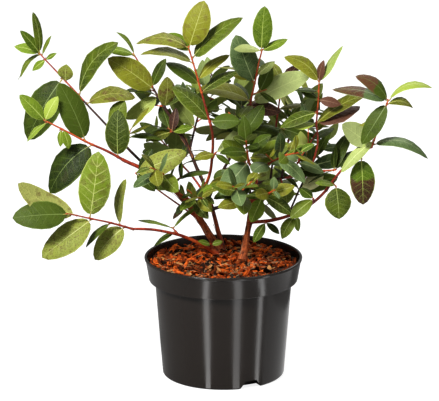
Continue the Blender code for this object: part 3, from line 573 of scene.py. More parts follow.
SHARE_WITH_LOWER_BARK = 0.4
WANDER = 0.9
WANDER_SCALE = 0.028
WANDER_LANES = (11, 37, 71)
COLLAR_SWELL = 0.32
COLLAR_HEIGHT = 2.6
NODE_SWELL = 0.42
NODE_HEIGHT = 0.9
NODE_EDGE = 1.1
PEELING_GIRTH = 5
PEELING_PITCH = 11
OLD_PEELING_PITCH = 5
PEELING_RINGS = 6


def unit(heading, rise):
    """Return the direction of a heading and a rise."""
    turn = math.radians(heading)
    lift = math.radians(rise)
    return Vector((math.cos(lift) * math.cos(turn), math.cos(lift) * math.sin(turn), math.sin(lift)))


def square_to(vector, axis):
    """Return the part of a vector that is square to an axis, at length one."""
    return (vector - axis * vector.dot(axis)).normalized()


def place_on(arc, share):
    """Return the point at a share of an arc's length."""
    rest = 1 - share
    return arc.foot * rest * rest + arc.belly * 2 * share * rest + arc.tip * share * share


def course(arc, share):
    """Return the direction in which an arc runs at a share of its length."""
    return ((arc.belly - arc.foot) * (1 - share) + (arc.tip - arc.belly) * share).normalized()


def frame_at(arc, share):
    """Return an arc's direction at a share of its length and two directions square to it."""
    axis = course(arc, share)
    across = square_to(arc.side, axis)
    return axis, across, axis.cross(across)


def spoke(across, over, turn):
    """Return the direction at a turn round a stem, from two directions square to it."""
    return across * math.cos(turn) + over * math.sin(turn)


def girth(arc, share):
    """Return an arc's radius at a share of its length."""
    return (arc.thick + (arc.thin - arc.thick) * share) / 2


def node_at(arc, share):
    """Return the share at which a leaf stands: as stated, but never at the very foot."""
    return max(share, FIRST_NODE / (arc.tip - arc.foot).length)


def bow(foot, shoot):
    """Return the arc of a shoot that starts at a foot."""
    ahead = unit(shoot.heading, shoot.rise)
    upward = unit(shoot.heading, shoot.rise + 90)
    side = upward.cross(ahead)
    tip = foot + ahead * shoot.reach
    belly = (foot + tip) / 2 + (upward * shoot.arch + side * shoot.sway) * 2
    return Arc(foot, belly, tip, shoot.thick, shoot.thin, side)


def seat(shoot, arcs):
    """Return where a shoot's foot lies and the normal of the face that it stands on."""
    if shoot.parent is None:
        ground = GROUND[shoot.name]
        return Vector((ground.x, ground.y, MULCH_TOP + GAP)), Vector((0, 0, 1))
    parent = arcs[shoot.parent]
    axis = course(parent, shoot.along)
    if shoot.along == 1:
        return parent.tip + axis * GAP, axis
    outward = square_to(course(bow(Vector(), shoot), 0), axis)
    return place_on(parent, shoot.along) + outward * (girth(parent, shoot.along) + GAP), outward


def swell(shoot, distance):
    """Return how much wider than its arc a shoot is near the ground, where it flares."""
    if shoot.parent is not None:
        return 1
    return 1 + FLARE_SHARE * math.exp(-max(distance, 0) / FLARE_HEIGHT)


def sunk(shoot, arcs):
    """Return how far a shoot's foot reaches into what carries it."""
    if shoot.parent is None:
        return 9.0
    if shoot.along == 1:
        return 1.5
    return girth(arcs[shoot.parent], shoot.along) + GAP


def wander(point):
    """Return the small bend that wood takes as it grows, the same for all that passes there."""
    lanes = [noise.noise(point * WANDER_SCALE + Vector((0, 0, lane))) for lane in WANDER_LANES]
    return Vector(lanes) * WANDER


def stem_shape(shoot, arc, depth, nodes, make):
    """Return a living stem: tapered, ridged bark, a collar at its foot, rings at its nodes, a rounded end."""
    reach = (arc.tip - arc.foot).length
    sides = make.sides
    count = max(4, round((reach + depth) / make.pitch))
    distances = [-depth + (reach + depth) * step / count for step in range(count + 1)]
    for node in nodes:
        distances += [node * reach - NODE_EDGE, node * reach, node * reach + NODE_EDGE]
    distances = sorted(d for d in distances if -depth <= d <= reach)
    points, grain, tops = [], [], []
    for distance in distances + [reach + 0.5, reach + 0.9]:
        share = distance / reach
        axis, across, over = frame_at(arc, min(share, 1))
        centre = place_on(arc, share) if share <= 1 else arc.tip + axis * (distance - reach)
        centre = centre + wander(centre)
        radius = girth(arc, min(max(share, 0), 1)) * swell(shoot, distance)
        if shoot.parent is not None:
            radius *= 1 + COLLAR_SWELL * math.exp(-max(distance, 0) / COLLAR_HEIGHT)
        radius += sum(NODE_SWELL * math.exp(-((distance - node * reach) / NODE_HEIGHT) ** 2) for node in nodes)
        if distance > reach:
            radius *= 0.86 if distance < reach + 0.7 else 0.5
        for index in range(sides):
            turn = 2 * math.pi * index / sides
            spot = Vector((math.cos(turn), math.sin(turn), 0))
            ridge = noise.noise(Vector((spot.x * 1.9, spot.y * 1.9, distance * 0.07)) + centre * 0.004)
            crumb = noise.noise(Vector((spot.x * 4, spot.y * 4, distance * 0.35)))
            wide = radius * (1 + make.relief * (ridge * 1.5 + crumb * 0.55))
            points.append(centre + (across * spot.x + over * spot.y) * wide)
            grain.append((spot.x * radius, spot.y * radius, distance + arc.foot.x))
        tops.append(share)
    shares = [0] + [top for top in tops[:-1] for _ in range(sides)] + [1]
    return points, tube_faces(len(tops), sides), shares, grain


def bark_slots(bark, shares):
    """Return the bark of each face: one kind, or two with the younger one above."""
    lower, _, upper = bark.partition("/")
    upper = upper or lower
    return [BARKS.index(lower if share < SHARE_WITH_LOWER_BARK else upper) for share in shares]


def pattern_group(name, colours, amounts):
    """Return a new group of nodes that makes a colour and a height, with what goes in and out."""
    group = bpy.data.node_groups.new(name, "ShaderNodeTree")
    for kind, sockets in (("Color", colours), ("Float", amounts)):
        for socket in sockets:
            group.interface.new_socket(socket, in_out="INPUT", socket_type="NodeSocket" + kind)
    group.interface.new_socket("Color", in_out="OUTPUT", socket_type="NodeSocketColor")
    group.interface.new_socket("Height", in_out="OUTPUT", socket_type="NodeSocketFloat")
    return group, group.nodes.new("NodeGroupInput").outputs, group.nodes.new("NodeGroupOutput")


def patterned(name, group, values, strength, distance, **sockets):
    """Return a material that a group of nodes colours and roughens."""
    made, tree, shader = blank_material(name, **sockets)
    pattern = add_node(tree, "Group", values, node_tree=group)
    feed(tree, shader, Base_Color=pattern.outputs["Color"],
         Normal=bumps(tree, pattern.outputs["Height"], strength, distance))
    return made


bark, given, result = pattern_group("stem_bark", ("Light", "Dark"), ("Streaks",))
along_stem = add_node(bark, "Attribute", attribute_name="grain").outputs["Vector"]
strips = add_node(bark, "Mapping", {"Vector": along_stem, "Scale": (0.75, 0.75, 0.06)}).outputs[0]
strips = mottle(bark, strips, 1.0, 4.0)
both = maths(bark, "ADD", strips, mottle(bark, along_stem, 0.22, 3.0))
share = add_node(bark, "MapRange", {0: both, 1: 0.8, 2: 1.2}).outputs[0]
share = maths(bark, "MULTIPLY", share, given["Streaks"])
feed(bark, result, Color=blend(bark, share, given["Light"], given["Dark"]), Height=strips)


def bark_finish(name, light, dark, streaks, roughness, depth):
    """Return a bark with streaks that run along its stem."""
    return patterned(name, bark, {"Light": light, "Dark": dark, "Streaks": streaks}, 0.8, depth,
                     Roughness=roughness)


bark_finishes = [
    bark_finish("bark_old", colour(218, 118, 62), colour(92, 38, 18), 1.0, 0.75, 0.0008),
    bark_finish("bark_middle", colour(188, 84, 44), colour(84, 34, 18), 0.9, 0.65, 0.0005),
    bark_finish("bark_blackish", colour(82, 44, 32), colour(34, 18, 14), 0.9, 0.6, 0.0004),
    bark_finish("bark_red", colour(196, 70, 38), colour(112, 32, 22), 0.9, 0.45, 0.0003),
    bark_finish("bark_orange_red", colour(232, 110, 52), colour(184, 62, 28), 0.9, 0.45, 0.0003),
]

arcs = {}
wood = Heap()
peelings = Heap()
for limb in LIMBS:
    foot, normal = seat(limb, arcs)
    arcs[limb.name] = bow(foot, limb)
    make = OLD_WOOD if limb.bark == "old" else YOUNG_WOOD
    shape = stem_shape(limb, arcs[limb.name], sunk(limb, arcs), [], make)
    wood.add(shape[0], shape[1], bark_slots(limb.bark, shape[2]), shape[3])

draw = random.Random("peeling bark")
for limb in LIMBS:
    if limb.thick < PEELING_GIRTH:
        continue
    arc = arcs[limb.name]
    for index in range(round(limb.reach / (OLD_PEELING_PITCH if limb.bark == "old" else PEELING_PITCH))):
        start, turn = draw.uniform(0.03, 0.85), draw.uniform(0, 2 * math.pi)
        length, wide = draw.uniform(8, 20), draw.uniform(0.7, 1.7)
        lifted = draw.uniform(0.3, 1.6)
        points = []
        for step in range(PEELING_RINGS):
            peeled = step / (PEELING_RINGS - 1)
            share = start + length * step / (PEELING_RINGS - 1) / limb.reach
            axis, across, over = frame_at(arc, share)
            centre = place_on(arc, share)
            outward = spoke(across, over, turn + step * 0.04)
            side = axis.cross(outward) * wide / 2 * (1 - 0.12 * step)
            rib = centre + wander(centre) + outward * (girth(arc, min(share, 1)) * swell(limb, share * limb.reach)
                                                       + 0.15 + lifted * peeled ** 2)
            points += [rib - side, rib + outward * 0.3, rib + side, rib - outward * 0.25]
        peelings.add(points, tube_faces(PEELING_RINGS, 4), draw.choice((0, 0, 1)), [tuple(p) for p in points])

stems = wood.build("woody_stems", bark_finishes)
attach(stems, "root")
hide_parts(*[limb.name for limb in LIMBS])
peeling_bark = peelings.build("peeling_bark", [
    bark_finish("bark_flake", colour(190, 122, 78), colour(104, 56, 34), 1.0, 0.8, 0.0003),
    bark_finish("bark_flake_pale", colour(206, 160, 120), colour(150, 96, 64), 0.8, 0.85, 0.0003),
])
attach(peeling_bark, "root")


# Leafy shoots. Each is a thin red shoot with opposite leaves on short stalks, a bud in each
# leaf's corner and a growing tip. Leaves are thin waxy blades with a pale rib and margin, and
# their colour goes from yellow-green at the tips to deep green, freckled and bronze lower down.
BUD = 2.5
LEAF_STATIONS = ((0.07, 0.10), (0.38, 1.0), (0.70, 0.84))
LEAF_THICKNESS = 0.014
LEAF_BREADTH = 0.46
PAIR_SPREAD = 62
TIP_SPREAD_LOSS = 22
CLEARANCE = 0.4
TWIG_SIDES = 3
TWIG_BUD = 2
TWIG_FOOT = 4
SHOOT_MAKE = Make(0.05, 9, 2.4)
SPRAY_SIDES = 5
SPRAY_STEPS = 4
ASIDE_TURNS = ((0, 0), (9, 0), (-9, 0), (0, 9), (0, -9), (16, 8), (-16, 8), (16, -8), (-16, -8),
               (0, 18), (0, -18), (26, 0), (-26, 0))
SHORTER = (1.0, 0.8, 0.62)
FILLING_HUES = ("deep", "mature", "olive", "deep", "cool")
BODY_CENTRE = Vector((0, 80, 300))
BODY_RADII = (130, 125, 105)
FINER_TWIG_PITCH = 15.0

Spray = namedtuple("Spray", "name group parent along heading rise reach arch sway thick thin bark leaves "
                            "pairs hues", defaults=(None, ()))
Leaf = namedtuple("Leaf", "along heading rise length face hue broad arch sweep", defaults=(1.0, None, 0.0))
Blade = namedtuple("Blade", "root ahead normal length breadth curl fold sweep radius")
Pairs = namedtuple("Pairs", "count first spin longest twigs")
MIXED = ("mature", "mature", "fresh", "deep", "olive")
GREENS = ("mature", "fresh", "mature", "cool", "olive")
SHADED = ("deep", "mature", "mature", "fresh", "cool")

SPRAYS = (
    Spray("low_left_spray", "left", "low_left_arm", 1, 206, 19, 90, 1, 0, 2.8, 1.6, "red",
          ((0.66, 20, 82, 82, 0, "veined", 1.12), (0.86, 180, 29, 80, 215, "blotched"),
           (0.97, 190, -1, 68, 15, "deep", 1.1), (0.62, 190, -36, 76, 25, "freckled", 1.05),
           (0.34, 200, -40, 42, 60, "deep"), (0.12, 188, -47, 54, 20, "freckled", 1.15),
           (0.20, 0, 83, 58, 60, "freckled", 1.0, None, 0.06))),
    Spray("left_arm_spray", "left", "left_arm", 1, 199, 30, 114, 0, 0, 3.6, 1.7, "red/orange",
          ((0.09, 90, 86, 57, 15, "mature", 1.1), (0.02, 185, -10, 24, 60, "mature"),
           (0.41, 190, -48, 78, 25, "deep", 1.15, None, -0.08), (0.50, 185, 67, 78, 15, "deep", 1.05),
           (1.0, 180, 47, 44, 20, "fresh"), (1.0, 0, 63, 34, 15, "young", 1.1),
           (0.97, 185, -43, 34, 60, "young"), (0.80, 190, -85, 22, 40, "fresh"),
           (0.78, 0, -52, 24, 30, "fresh"), (0.80, 350, 8, 26, 60, "pale"))),
    Spray("upper_left_spray", "left", "upper_left_stem", 1, 158, 43, 133, 0, 0, 2.8, 1.6, "dark/red",
          ((0.06, 0, 62, 40, 25, "mature", 1.25), (0.37, 0, 8, 60, 50, "blotched", 1.25, 0.16),
           (0.47, 350, 55, 84, 45, "mature", 0.9, None, 0.14), (0.69, 185, -60, 88, 15, "deep", 1.1),
           (0.65, 280, 72, 24, 10, "freckled", 1.7), (0.92, 0, 32, 16, 30, "fresh"),
           (0.92, 190, -38, 21, 30, "fresh"), (1.0, 190, -51, 38, 60, "mature", 0.8, None, -0.2),
           (1.0, 178, 16, 32, 35, "young", 1.15), (0.97, 0, 66, 28, 60, "mature", 0.8),
           (1.0, 180, 82, 52, 40, "mature", 0.6), (1.0, 200, 69, 39, 40, "fresh", 0.8),
           (0.99, 170, -41, 46, 70, "fresh", 0.6, None, -0.2), (1.0, 0, 86, 30, 50, "deep", 0.7))),
    Spray("tall_spray", "left", "tall_stem", 1, 158, 58, 76, 0, 0, 3.0, 1.6, "dark/red",
          ((0.0, 150, 76, 38, 25, "blotched", 1.5), (0.36, 180, 35, 69, 15, "olive"),
           (0.42, 0, 65, 39, 35, "deep"), (0.25, 190, 10, 42, 70, "deep", 1.0, 0.1),
           (0.25, 175, -36, 50, 200, "young"), (1.0, 180, 12, 35, 50, "fresh", 1.1),
           (1.0, 190, 53, 37, 60, "fresh", 0.7, None, -0.14), (0.05, 20, 20, 34, 50, "mature"),
           (0.97, 165, 20, 48, 70, "fresh", 0.6))),
    Spray("red_spray", "centre", "red_stem", 1, 231, 68, 107, 0, 0, 2.8, 1.7, "red/orange",
          ((1.0, 20, 71, 58, 10, "olive", 1.2), (0.86, 0, 40, 77, 45, "mature", 0.9, None, 0.05),
           (0.80, 182, 10, 63, 55, "olive", 0.9, 0.14), (1.0, 170, 3, 63, 50, "blotched", 0.95, 0.18),
           (0.52, 180, 41, 47, 40, "deep"), (0.58, 10, 38, 47, 45, "olive", 0.95, None, 0.08),
           (0.42, 10, 30, 48, 50, "mature"), (0.95, 160, 42, 34, 30, "fresh", 1.2),
           (0.04, 150, 82, 52, 5, "fresh", 0.95), (0.03, 180, 38, 61, 40, "mature"),
           (0.0, 350, 4, 36, 25, "deep", 1.4))),
    Spray("centre_spray", "centre", "centre_stem", 1, 316, 75, 108, 0, 0, 2.8, 1.7, "red/orange",
          ((1.0, 20, 86, 54, 5, "fresh", 0.95), (1.0, 5, 24, 34, 45, "fresh"), (1.0, 180, 5, 33, 50, "pale"),
           (0.60, 180, 71, 62, 10, "cool", 1.2), (0.70, 10, 42, 28, 30, "pale"),
           (0.38, 178, 12, 67, 50, "olive", 1.0, 0.12), (0.36, 350, 27, 82, 200, "pale", 0.75, None, -0.06),
           (0.33, 250, -10, 36, 45, "mature"), (0.32, 0, -10, 38, 20, "bronze"),
           (0.30, 190, -60, 28, 80, "young"), (0.0, 350, -8, 46, 20, "deep"), (0.02, 215, 20, 40, 30, "deep"),
           (0.98, 200, 80, 17, 0, "pale", 1.8), (0.47, 190, 60, 25, 20, "freckled", 1.2))),
    Spray("leader_spray", "centre", "right_leader", 1, 264, 44, 50, 0, 0, 2.6, 1.6, "orange",
          ((0.05, 195, 40, 42, 15, "mature", 1.2), (0.05, 200, -46, 52, 15, "cool", 1.25),
           (0.08, 350, 24, 54, 35, "mature", 1.1)), Pairs(3, 0.5, 20, 46, 0), MIXED),
    Spray("cross_spray", "centre", "cross_branch", 1, 300, 28, 34, 0, 0, 2.8, 1.7, "orange",
          ((0.1, 182, 2, 26, 50, "fresh"), (0.1, 190, -66, 34, 10, "fresh", 1.2),
           (0.2, 355, -32, 40, 35, "mature", 1.2)), Pairs(2, 0.6, 0, 34, 0), GREENS),
    Spray("left_node_spray", "left", "left_stem", 0.48, 205, 39, 95, 0, 0, 2.4, 1.6, "red/orange",
          ((1.0, 350, 26, 68, 15, "freckled", 0.95), (1.0, 330, -35, 32, 30, "deep", 1.2),
           (0.95, 20, 62, 36, 30, "deep"), (0.9, 350, -12, 38, 30, "mature"),
           (0.15, 200, -40, 19, 50, "withered", 1.1))),
    Spray("low_arm_spray", "left", "low_left_arm", 0.5, 150, 40, 8, 0, 0, 2.0, 1.6, "red",
          ((1.0, 180, 14, 44, 70, "fresh", 0.7), (1.0, 10, 50, 42, 70, "fresh", 0.7),
           (0.2, 200, -28, 32, 60, "deep"))),
    Spray("basal_sprig", "left", "low_left_arm", 0.1, 270, 50, 8, 0, 0, 1.8, 1.4, "red",
          ((1.0, 200, 20, 18, 40, "fresh"), (1.0, 0, 15, 15, 30, "young"), (0.6, 300, 60, 14, 40, "young"))),
    Spray("knot_spray", "centre", "left_stem", 0.6, 281, 20, 84, 3, 0, 2.4, 1.6, "orange", (),
          Pairs(6, 0.15, 30, 34, 3), GREENS),
    Spray("upper_stem_spray", "left", "upper_left_stem", 0.8, 40, 45, 8, 0, 0, 2.0, 1.6, "dark",
          ((1.0, 0, -4, 42, 60, "deep", 0.8, 0.14), (1.0, 120, 50, 26, 60, "mature"))),
    Spray("tall_side_spray", "left", "tall_stem", 0.82, 200, 20, 9, 0, 0, 2.0, 1.6, "dark",
          ((1.0, 190, -18, 30, 30, "olive"), (1.0, 180, 8, 30, 85, "deep"), (1.0, 60, 62, 30, 30, "bronze"),
           (0.9, 0, 15, 26, 40, "fresh", 1.1))),
    Spray("red_low_spray", "centre", "red_stem", 0.62, 290, 45, 9, 0, 0, 2.0, 1.6, "orange",
          ((1.0, 180, 48, 45, 15, "deep", 1.25), (1.0, 5, 47, 43, 215, "pale", 0.8),
           (0.7, 185, 8, 28, 40, "olive"), (0.7, 340, -30, 22, 40, "deep"))),
    Spray("centre_low_spray", "centre", "centre_stem", 0.42, 300, 30, 9, 0, 0, 2.0, 1.6, "dark",
          ((1.0, 50, 60, 36, 20, "deep", 1.2), (1.0, 190, -60, 27, 20, "deep", 1.5),
           (0.7, 0, -10, 30, 40, "fresh"))),
    Spray("leader_low_spray", "centre", "right_leader", 0.42, 240, 10, 9, 0, 0, 2.0, 1.6, "red",
          ((1.0, 190, -14, 48, 40, "deep"), (1.0, 200, -64, 44, 20, "mature", 1.1),
           (1.0, 320, -25, 32, 30, "fresh"))),
    Spray("front_spray", "centre", "right_trunk", 0.85, 256, 33, 98, 4, 0, 2.8, 1.6, "red", (),
          Pairs(5, 0.35, 10, 50, 2), GREENS),
    Spray("right_foot_spray", "right", "right_branch", 0.14, 290, 10, 8, 0, 0, 2.0, 1.6, "red",
          ((1.0, 205, -55, 28, 30, "fresh"), (1.0, 340, -35, 22, 40, "deep"))),
    Spray("right_low_spray", "right", "right_branch", 0.5, 300, 10, 9, 0, 0, 2.0, 1.6, "red",
          ((0.8, 200, -58, 32, 30, "mature", 1.1), (1.0, 60, -72, 22, 40, "fresh"),
           (1.0, 300, -78, 36, 200, "pale", 1.1))),
    Spray("right_knee_spray", "right", "right_branch", 0.8, 280, 40, 8, 0, 0, 2.0, 1.6, "red",
          ((1.0, 190, -30, 36, 30, "mature", 1.1), (1.0, 150, 30, 22, 30, "fresh", 1.4))),
    Spray("right_middle_spray", "right", "right_reach", 0.15, 300, -10, 8, 0, 0, 2.2, 1.7, "red",
          ((1.0, 300, -78, 40, 0, "mature", 1.6), (1.0, 190, 10, 26, 50, "fresh"))),
    Spray("right_outer_spray", "right", "right_reach", 0.72, 310, 15, 8, 0, 0, 2.2, 1.7, "orange",
          ((1.0, 285, -80, 56, 0, "fresh/bronze", 1.25), (1.0, 200, -20, 28, 40, "deep"))),
    Spray("right_tip_spray", "right", "right_reach", 1, 332, 70, 62, 0, 0, 2.4, 1.6, "orange/pale",
          ((0.05, 190, 36, 45, 200, "pale", 1.3), (0.0, 355, -12, 68, 55, "cool", 0.75, 0.22),
           (0.02, 20, 74, 32, 40, "bronze", 0.8), (0.95, 188, -58, 57, 25, "deep", 0.85),
           (1.0, 178, 12, 67, 55, "cool/bronze", 1.0, 0.1),
           (1.0, 182, 38, 49, 45, "deep/bronze", 1.15, None, -0.12), (1.0, 5, 16, 54, 60, "young", 0.8, 0.24),
           (0.92, 355, -6, 31, 45, "olive", 1.1, 0.25), (0.5, 195, -5, 30, 40, "olive"),
           (0.14, 200, -40, 54, 20, "pale", 0.65))),
    Spray("inner_low_spray", "right", "inner_branch", 0.35, 290, -30, 7, 0, 0, 2.0, 1.6, "red",
          ((1.0, 330, -76, 25, 5, "mature", 1.6), (1.0, 190, 5, 26, 50, "mature"))),
    Spray("inner_spray", "right", "inner_branch", 1, 330, 12, 18, 0, 0, 2.4, 1.7, "orange",
          ((0.0, 340, -4, 42, 20, "cool", 1.1), (0.0, 210, -24, 38, 20, "cream", 0.95),
           (1.0, 80, 72, 32, 60, "deep"), (1.0, 30, 36, 36, 50, "deep"), (0.9, 175, -24, 46, 75, "deep", 0.7),
           (0.9, 60, 68, 52, 40, "deep"))),
    Spray("slant_spray", "right", "inner_branch", 0.5, 350, 60, 64, 0, 0, 2.0, 1.5, "red",
          ((0.45, 100, 72, 30, 180, "young"), (0.3, 350, -25, 34, 30, "cool"), (0.35, 190, 5, 30, 40, "olive"),
           (0.12, 0, -12, 34, 30, "deep"), (0.8, 30, 20, 34, 50, "deep"), (1.0, 350, 62, 30, 40, "olive"))),
    Spray("upright_spray", "right", "right_upright", 1, 280, 76, 58, 0, 0, 2.2, 1.6, "red/orange",
          ((1.0, 0, 59, 52, 65, "pale", 0.9), (1.0, 172, 36, 51, 35, "olive", 1.0, None, -0.18),
           (1.0, 60, 75, 28, 50, "bronze"), (0.6, 350, -10, 28, 20, "bronze"), (0.62, 180, 30, 26, 40, "deep"),
           (0.04, 0, 32, 69, 50, "olive", 0.8), (0.0, 10, 20, 56, 50, "bronze", 1.15),
           (0.3, 182, -22, 48, 35, "mature"), (0.02, 190, -10, 28, 45, "young"),
           (0.78, 200, 8, 30, 60, "deep"))),
    Spray("middle_spray", "right", "middle_upright", 1, 60, 75, 36, 0, 0, 2.2, 1.6, "red/orange",
          ((0.1, 5, 10, 34, 60, "olive"), (0.1, 185, 10, 40, 40, "bronze"), (0.6, 0, 40, 36, 50, "bronze"),
           (0.6, 180, 40, 32, 50, "fresh"), (1.0, 150, 60, 28, 20, "freckled"),
           (1.0, 20, 45, 32, 30, "bronze"))),
    Spray("middle_low_spray", "right", "middle_upright", 0.72, 320, 30, 9, 0, 0, 2.0, 1.6, "red",
          ((0.6, 185, 0, 32, 40, "cool"), (1.0, 350, -22, 42, 20, "deep"), (1.0, 205, -20, 32, 30, "deep"))),
    Spray("rear_left_spray", "rear", "rear_left_branch", 1, 118, 18, 74, 0, 0, 2.4, 1.6, "red", (),
          Pairs(6, 0.0, 20, 58, 3), SHADED),
    Spray("rear_middle_spray", "rear", "rear_middle_branch", 1, 92, 26, 78, 0, 0, 2.4, 1.6, "red", (),
          Pairs(6, 0.0, 15, 60, 3), SHADED),
    Spray("rear_right_spray", "rear", "rear_right_branch", 1, 70, 24, 76, 0, 0, 2.4, 1.6, "red", (),
          Pairs(6, 0.0, 40, 58, 3), SHADED),
    Spray("rear_low_spray", "rear", "right_trunk", 0.5, 72, 14, 124, 5, 0, 2.8, 1.6, "dark/red", (),
          Pairs(6, 0.3, 0, 52, 3), SHADED),
    Spray("rear_top_spray", "rear", "tall_stem", 0.7, 74, 36, 118, 4, 0, 2.8, 1.6, "dark/red", (),
          Pairs(7, 0.25, 60, 56, 3), SHADED),
    Spray("rear_outer_spray", "rear", "right_branch", 0.45, 62, 34, 118, 6, 0, 2.6, 1.6, "dark/red", (),
          Pairs(6, 0.3, 20, 52, 3), SHADED),
    Spray("front_left_spray", "left", "left_stem", 0.82, 250, 30, 92, 4, 0, 2.6, 1.6, "red/orange", (),
          Pairs(5, 0.3, 50, 46, 1), GREENS),
    Spray("front_right_spray", "right", "right_leader", 0.78, 306, 26, 98, 4, 0, 2.6, 1.6, "red/orange", (),
          Pairs(5, 0.3, 15, 46, 2), GREENS),
)
SPRAYS = [spray._replace(leaves=[Leaf(*row) for row in spray.leaves]) for spray in SPRAYS]


def ring(arc, share, sides):
    """Return one ring of points round an arc."""
    axis, across, over = frame_at(arc, share)
    centre = place_on(arc, share)
    turns = [2 * math.pi * index / sides for index in range(sides)]
    return [centre + spoke(across, over, turn) * girth(arc, share) for turn in turns]


def plain_tube(arc, sides, steps, bud, normal):
    """Return the plain faceted tube that keeps a stem's room clear."""
    points = []
    for step in range(steps + 1):
        loop = ring(arc, step / steps, sides)
        if step == 0:
            along = course(arc, 0)
            slope = along.dot(normal)
            loop = [point + along * ((arc.foot - point).dot(normal) / slope) for point in loop]
        points += loop
    if bud:
        points.append(arc.tip + course(arc, 1) * bud)
    return points, tube_faces(steps + 1, sides, bool(bud))


def facing(ahead, face):
    """Return the normal of a set leaf's upper side: 0 faces the front, 90 the sky, 180 the back."""
    front = square_to(Vector((0, -1, 0.35)), ahead)
    above = ahead.cross(front)
    if above.z < 0:
        above.negate()
    turn = math.radians(face)
    return front * math.cos(turn) + above * math.sin(turn)


def plain_blade(leaf, extra=0):
    """Return the plain faceted leaf that keeps a leaf's room clear."""
    side = leaf.normal.cross(leaf.ahead)
    thick = leaf.length * LEAF_THICKNESS / 2 + extra
    points = []
    for share, width in LEAF_STATIONS:
        bow_out = (leaf.normal * leaf.curl + side * leaf.sweep) * (leaf.length * 4 * share * (1 - share))
        rib = leaf.root + leaf.ahead * (share * leaf.length) + bow_out
        half = max(leaf.breadth * leaf.length * width / 2, 0.6) + extra
        lift = leaf.normal * (leaf.fold * half)
        points += [rib - side * half + lift, rib + leaf.normal * thick]
        points += [rib + side * half + lift, rib - leaf.normal * thick]
    faces = []
    for low in (0, 4):
        for index in range(4):
            after = (index + 1) % 4
            faces.append((low + index, low + 4 + index, low + 4 + after))
            faces.append((low + index, low + 4 + after, low + after))
    points += [leaf.root - leaf.ahead * (leaf.radius * 0.4), leaf.root + leaf.ahead * (leaf.length + extra)]
    faces += [(12, index, (index + 1) % 4) for index in range(4)]
    faces += [(13, 8 + (index + 1) % 4, 8 + index) for index in range(4)]
    return points, faces


class Growth:
    """What has grown so far, so that nothing new grows into it."""

    def __init__(self):
        self.others = []
        self.own = []
        self.filling = False

    def is_free(self, tree):
        """Return whether a search tree touches nothing that has grown."""
        return not any(tree.overlap(grown) for grown in self.others + self.own)

    def close(self):
        """Count what the finished spray holds as grown by others."""
        self.others += self.own
        self.own = []


def turned_aside(ahead, normal, sideways, upwards):
    """Return a leaf's direction and normal after it gives way to a neighbour."""
    turn = Matrix.Rotation(math.radians(sideways), 3, normal)
    turn = turn @ Matrix.Rotation(math.radians(upwards), 3, normal.cross(ahead))
    return turn @ ahead, turn @ normal


def in_body(point):
    """Return whether a point lies in the crown's dense body, where the finer twigs grow."""
    from_centre = point - BODY_CENTRE
    return sum((a / b) ** 2 for a, b in zip(from_centre, BODY_RADII)) < 1


def add_leaf(growth, grown, leaf, hue):
    """Grow a leaf where it touches nothing, turned aside or shortened a little if need be."""
    if growth.filling and not in_body(leaf.root + leaf.ahead * leaf.length):
        return
    for share in SHORTER:
        for sideways, upwards in ASIDE_TURNS:
            ahead, normal = turned_aside(leaf.ahead, leaf.normal, sideways, upwards)
            tried = leaf._replace(ahead=ahead, normal=normal, length=leaf.length * share)
            points, faces = plain_blade(tried, CLEARANCE)
            tree = BVHTree.FromPolygons(points, [corners for corners in faces if 12 not in corners])
            if growth.is_free(tree):
                grown.append((tried, hue))
                growth.own.append(tree)
                return


def habit(draw, length):
    """Draw a leaf's breadth, curl and fold."""
    breadth = LEAF_BREADTH + draw.uniform(-0.05, 0.05) + 0.1 * max(0, 1 - length / 40)
    return breadth, draw.uniform(0.03, 0.09), draw.uniform(0.10, 0.30)


def set_leaves(spray, arc, growth, grown, draw):
    """Grow the leaves whose place on the spray is stated."""
    for leaf in spray.leaves:
        ahead = unit(leaf.heading, leaf.rise)
        share = node_at(arc, leaf.along)
        breadth, curl, fold = habit(draw, leaf.length)
        if leaf.arch is not None:
            curl = leaf.arch
        blade = Blade(place_on(arc, share), ahead, facing(ahead, leaf.face), leaf.length, breadth * leaf.broad,
                      curl, fold, leaf.sweep, girth(arc, share))
        add_leaf(growth, grown, blade, leaf.hue)


def outward_face(root, ahead, draw):
    """Return the normal of a leaf that turns its upper side up and out of the crown."""
    outward = Vector((root.x, root.y - 30, 0)).normalized()
    jitter = Vector([draw.uniform(-0.35, 0.35) for _ in range(3)])
    return square_to(Vector((0, 0, 0.8)) + outward * 0.6 + jitter, ahead)


def paired_leaves(arc, share, spin, longest, growth, grown, draw, hue):
    """Grow one pair of opposite leaves."""
    share = node_at(arc, share)
    axis, across, over = frame_at(arc, share)
    for side in (1, -1):
        turn = math.radians(spin + draw.uniform(-12, 12))
        spread = math.radians(PAIR_SPREAD - TIP_SPREAD_LOSS * share + draw.uniform(-9, 9))
        outward = spoke(across, over, turn) * side
        ahead = (axis * math.cos(spread) + outward * math.sin(spread)).normalized()
        length = longest * draw.uniform(0.85, 1.1)
        breadth, curl, fold = habit(draw, length)
        root = place_on(arc, share)
        normal = outward_face(root, ahead, draw)
        blade = Blade(root, ahead, normal, length, breadth, curl, fold, 0, girth(arc, share))
        add_leaf(growth, grown, blade, hue)


def bare_twig(arc, share, ahead, reach, thick, thin):
    """Return a straight twig that leaves an arc, and the room that it takes past its foot."""
    root = place_on(arc, share)
    side = square_to(Vector((0, 0, 1)), ahead)
    twig = Arc(root, root + ahead * reach / 2, root + ahead * reach, thick, thin, side)
    points, faces = plain_tube(twig, TWIG_SIDES, 1, TWIG_BUD, ahead)
    return twig, BVHTree.FromPolygons([point + ahead * TWIG_FOOT for point in points], faces)


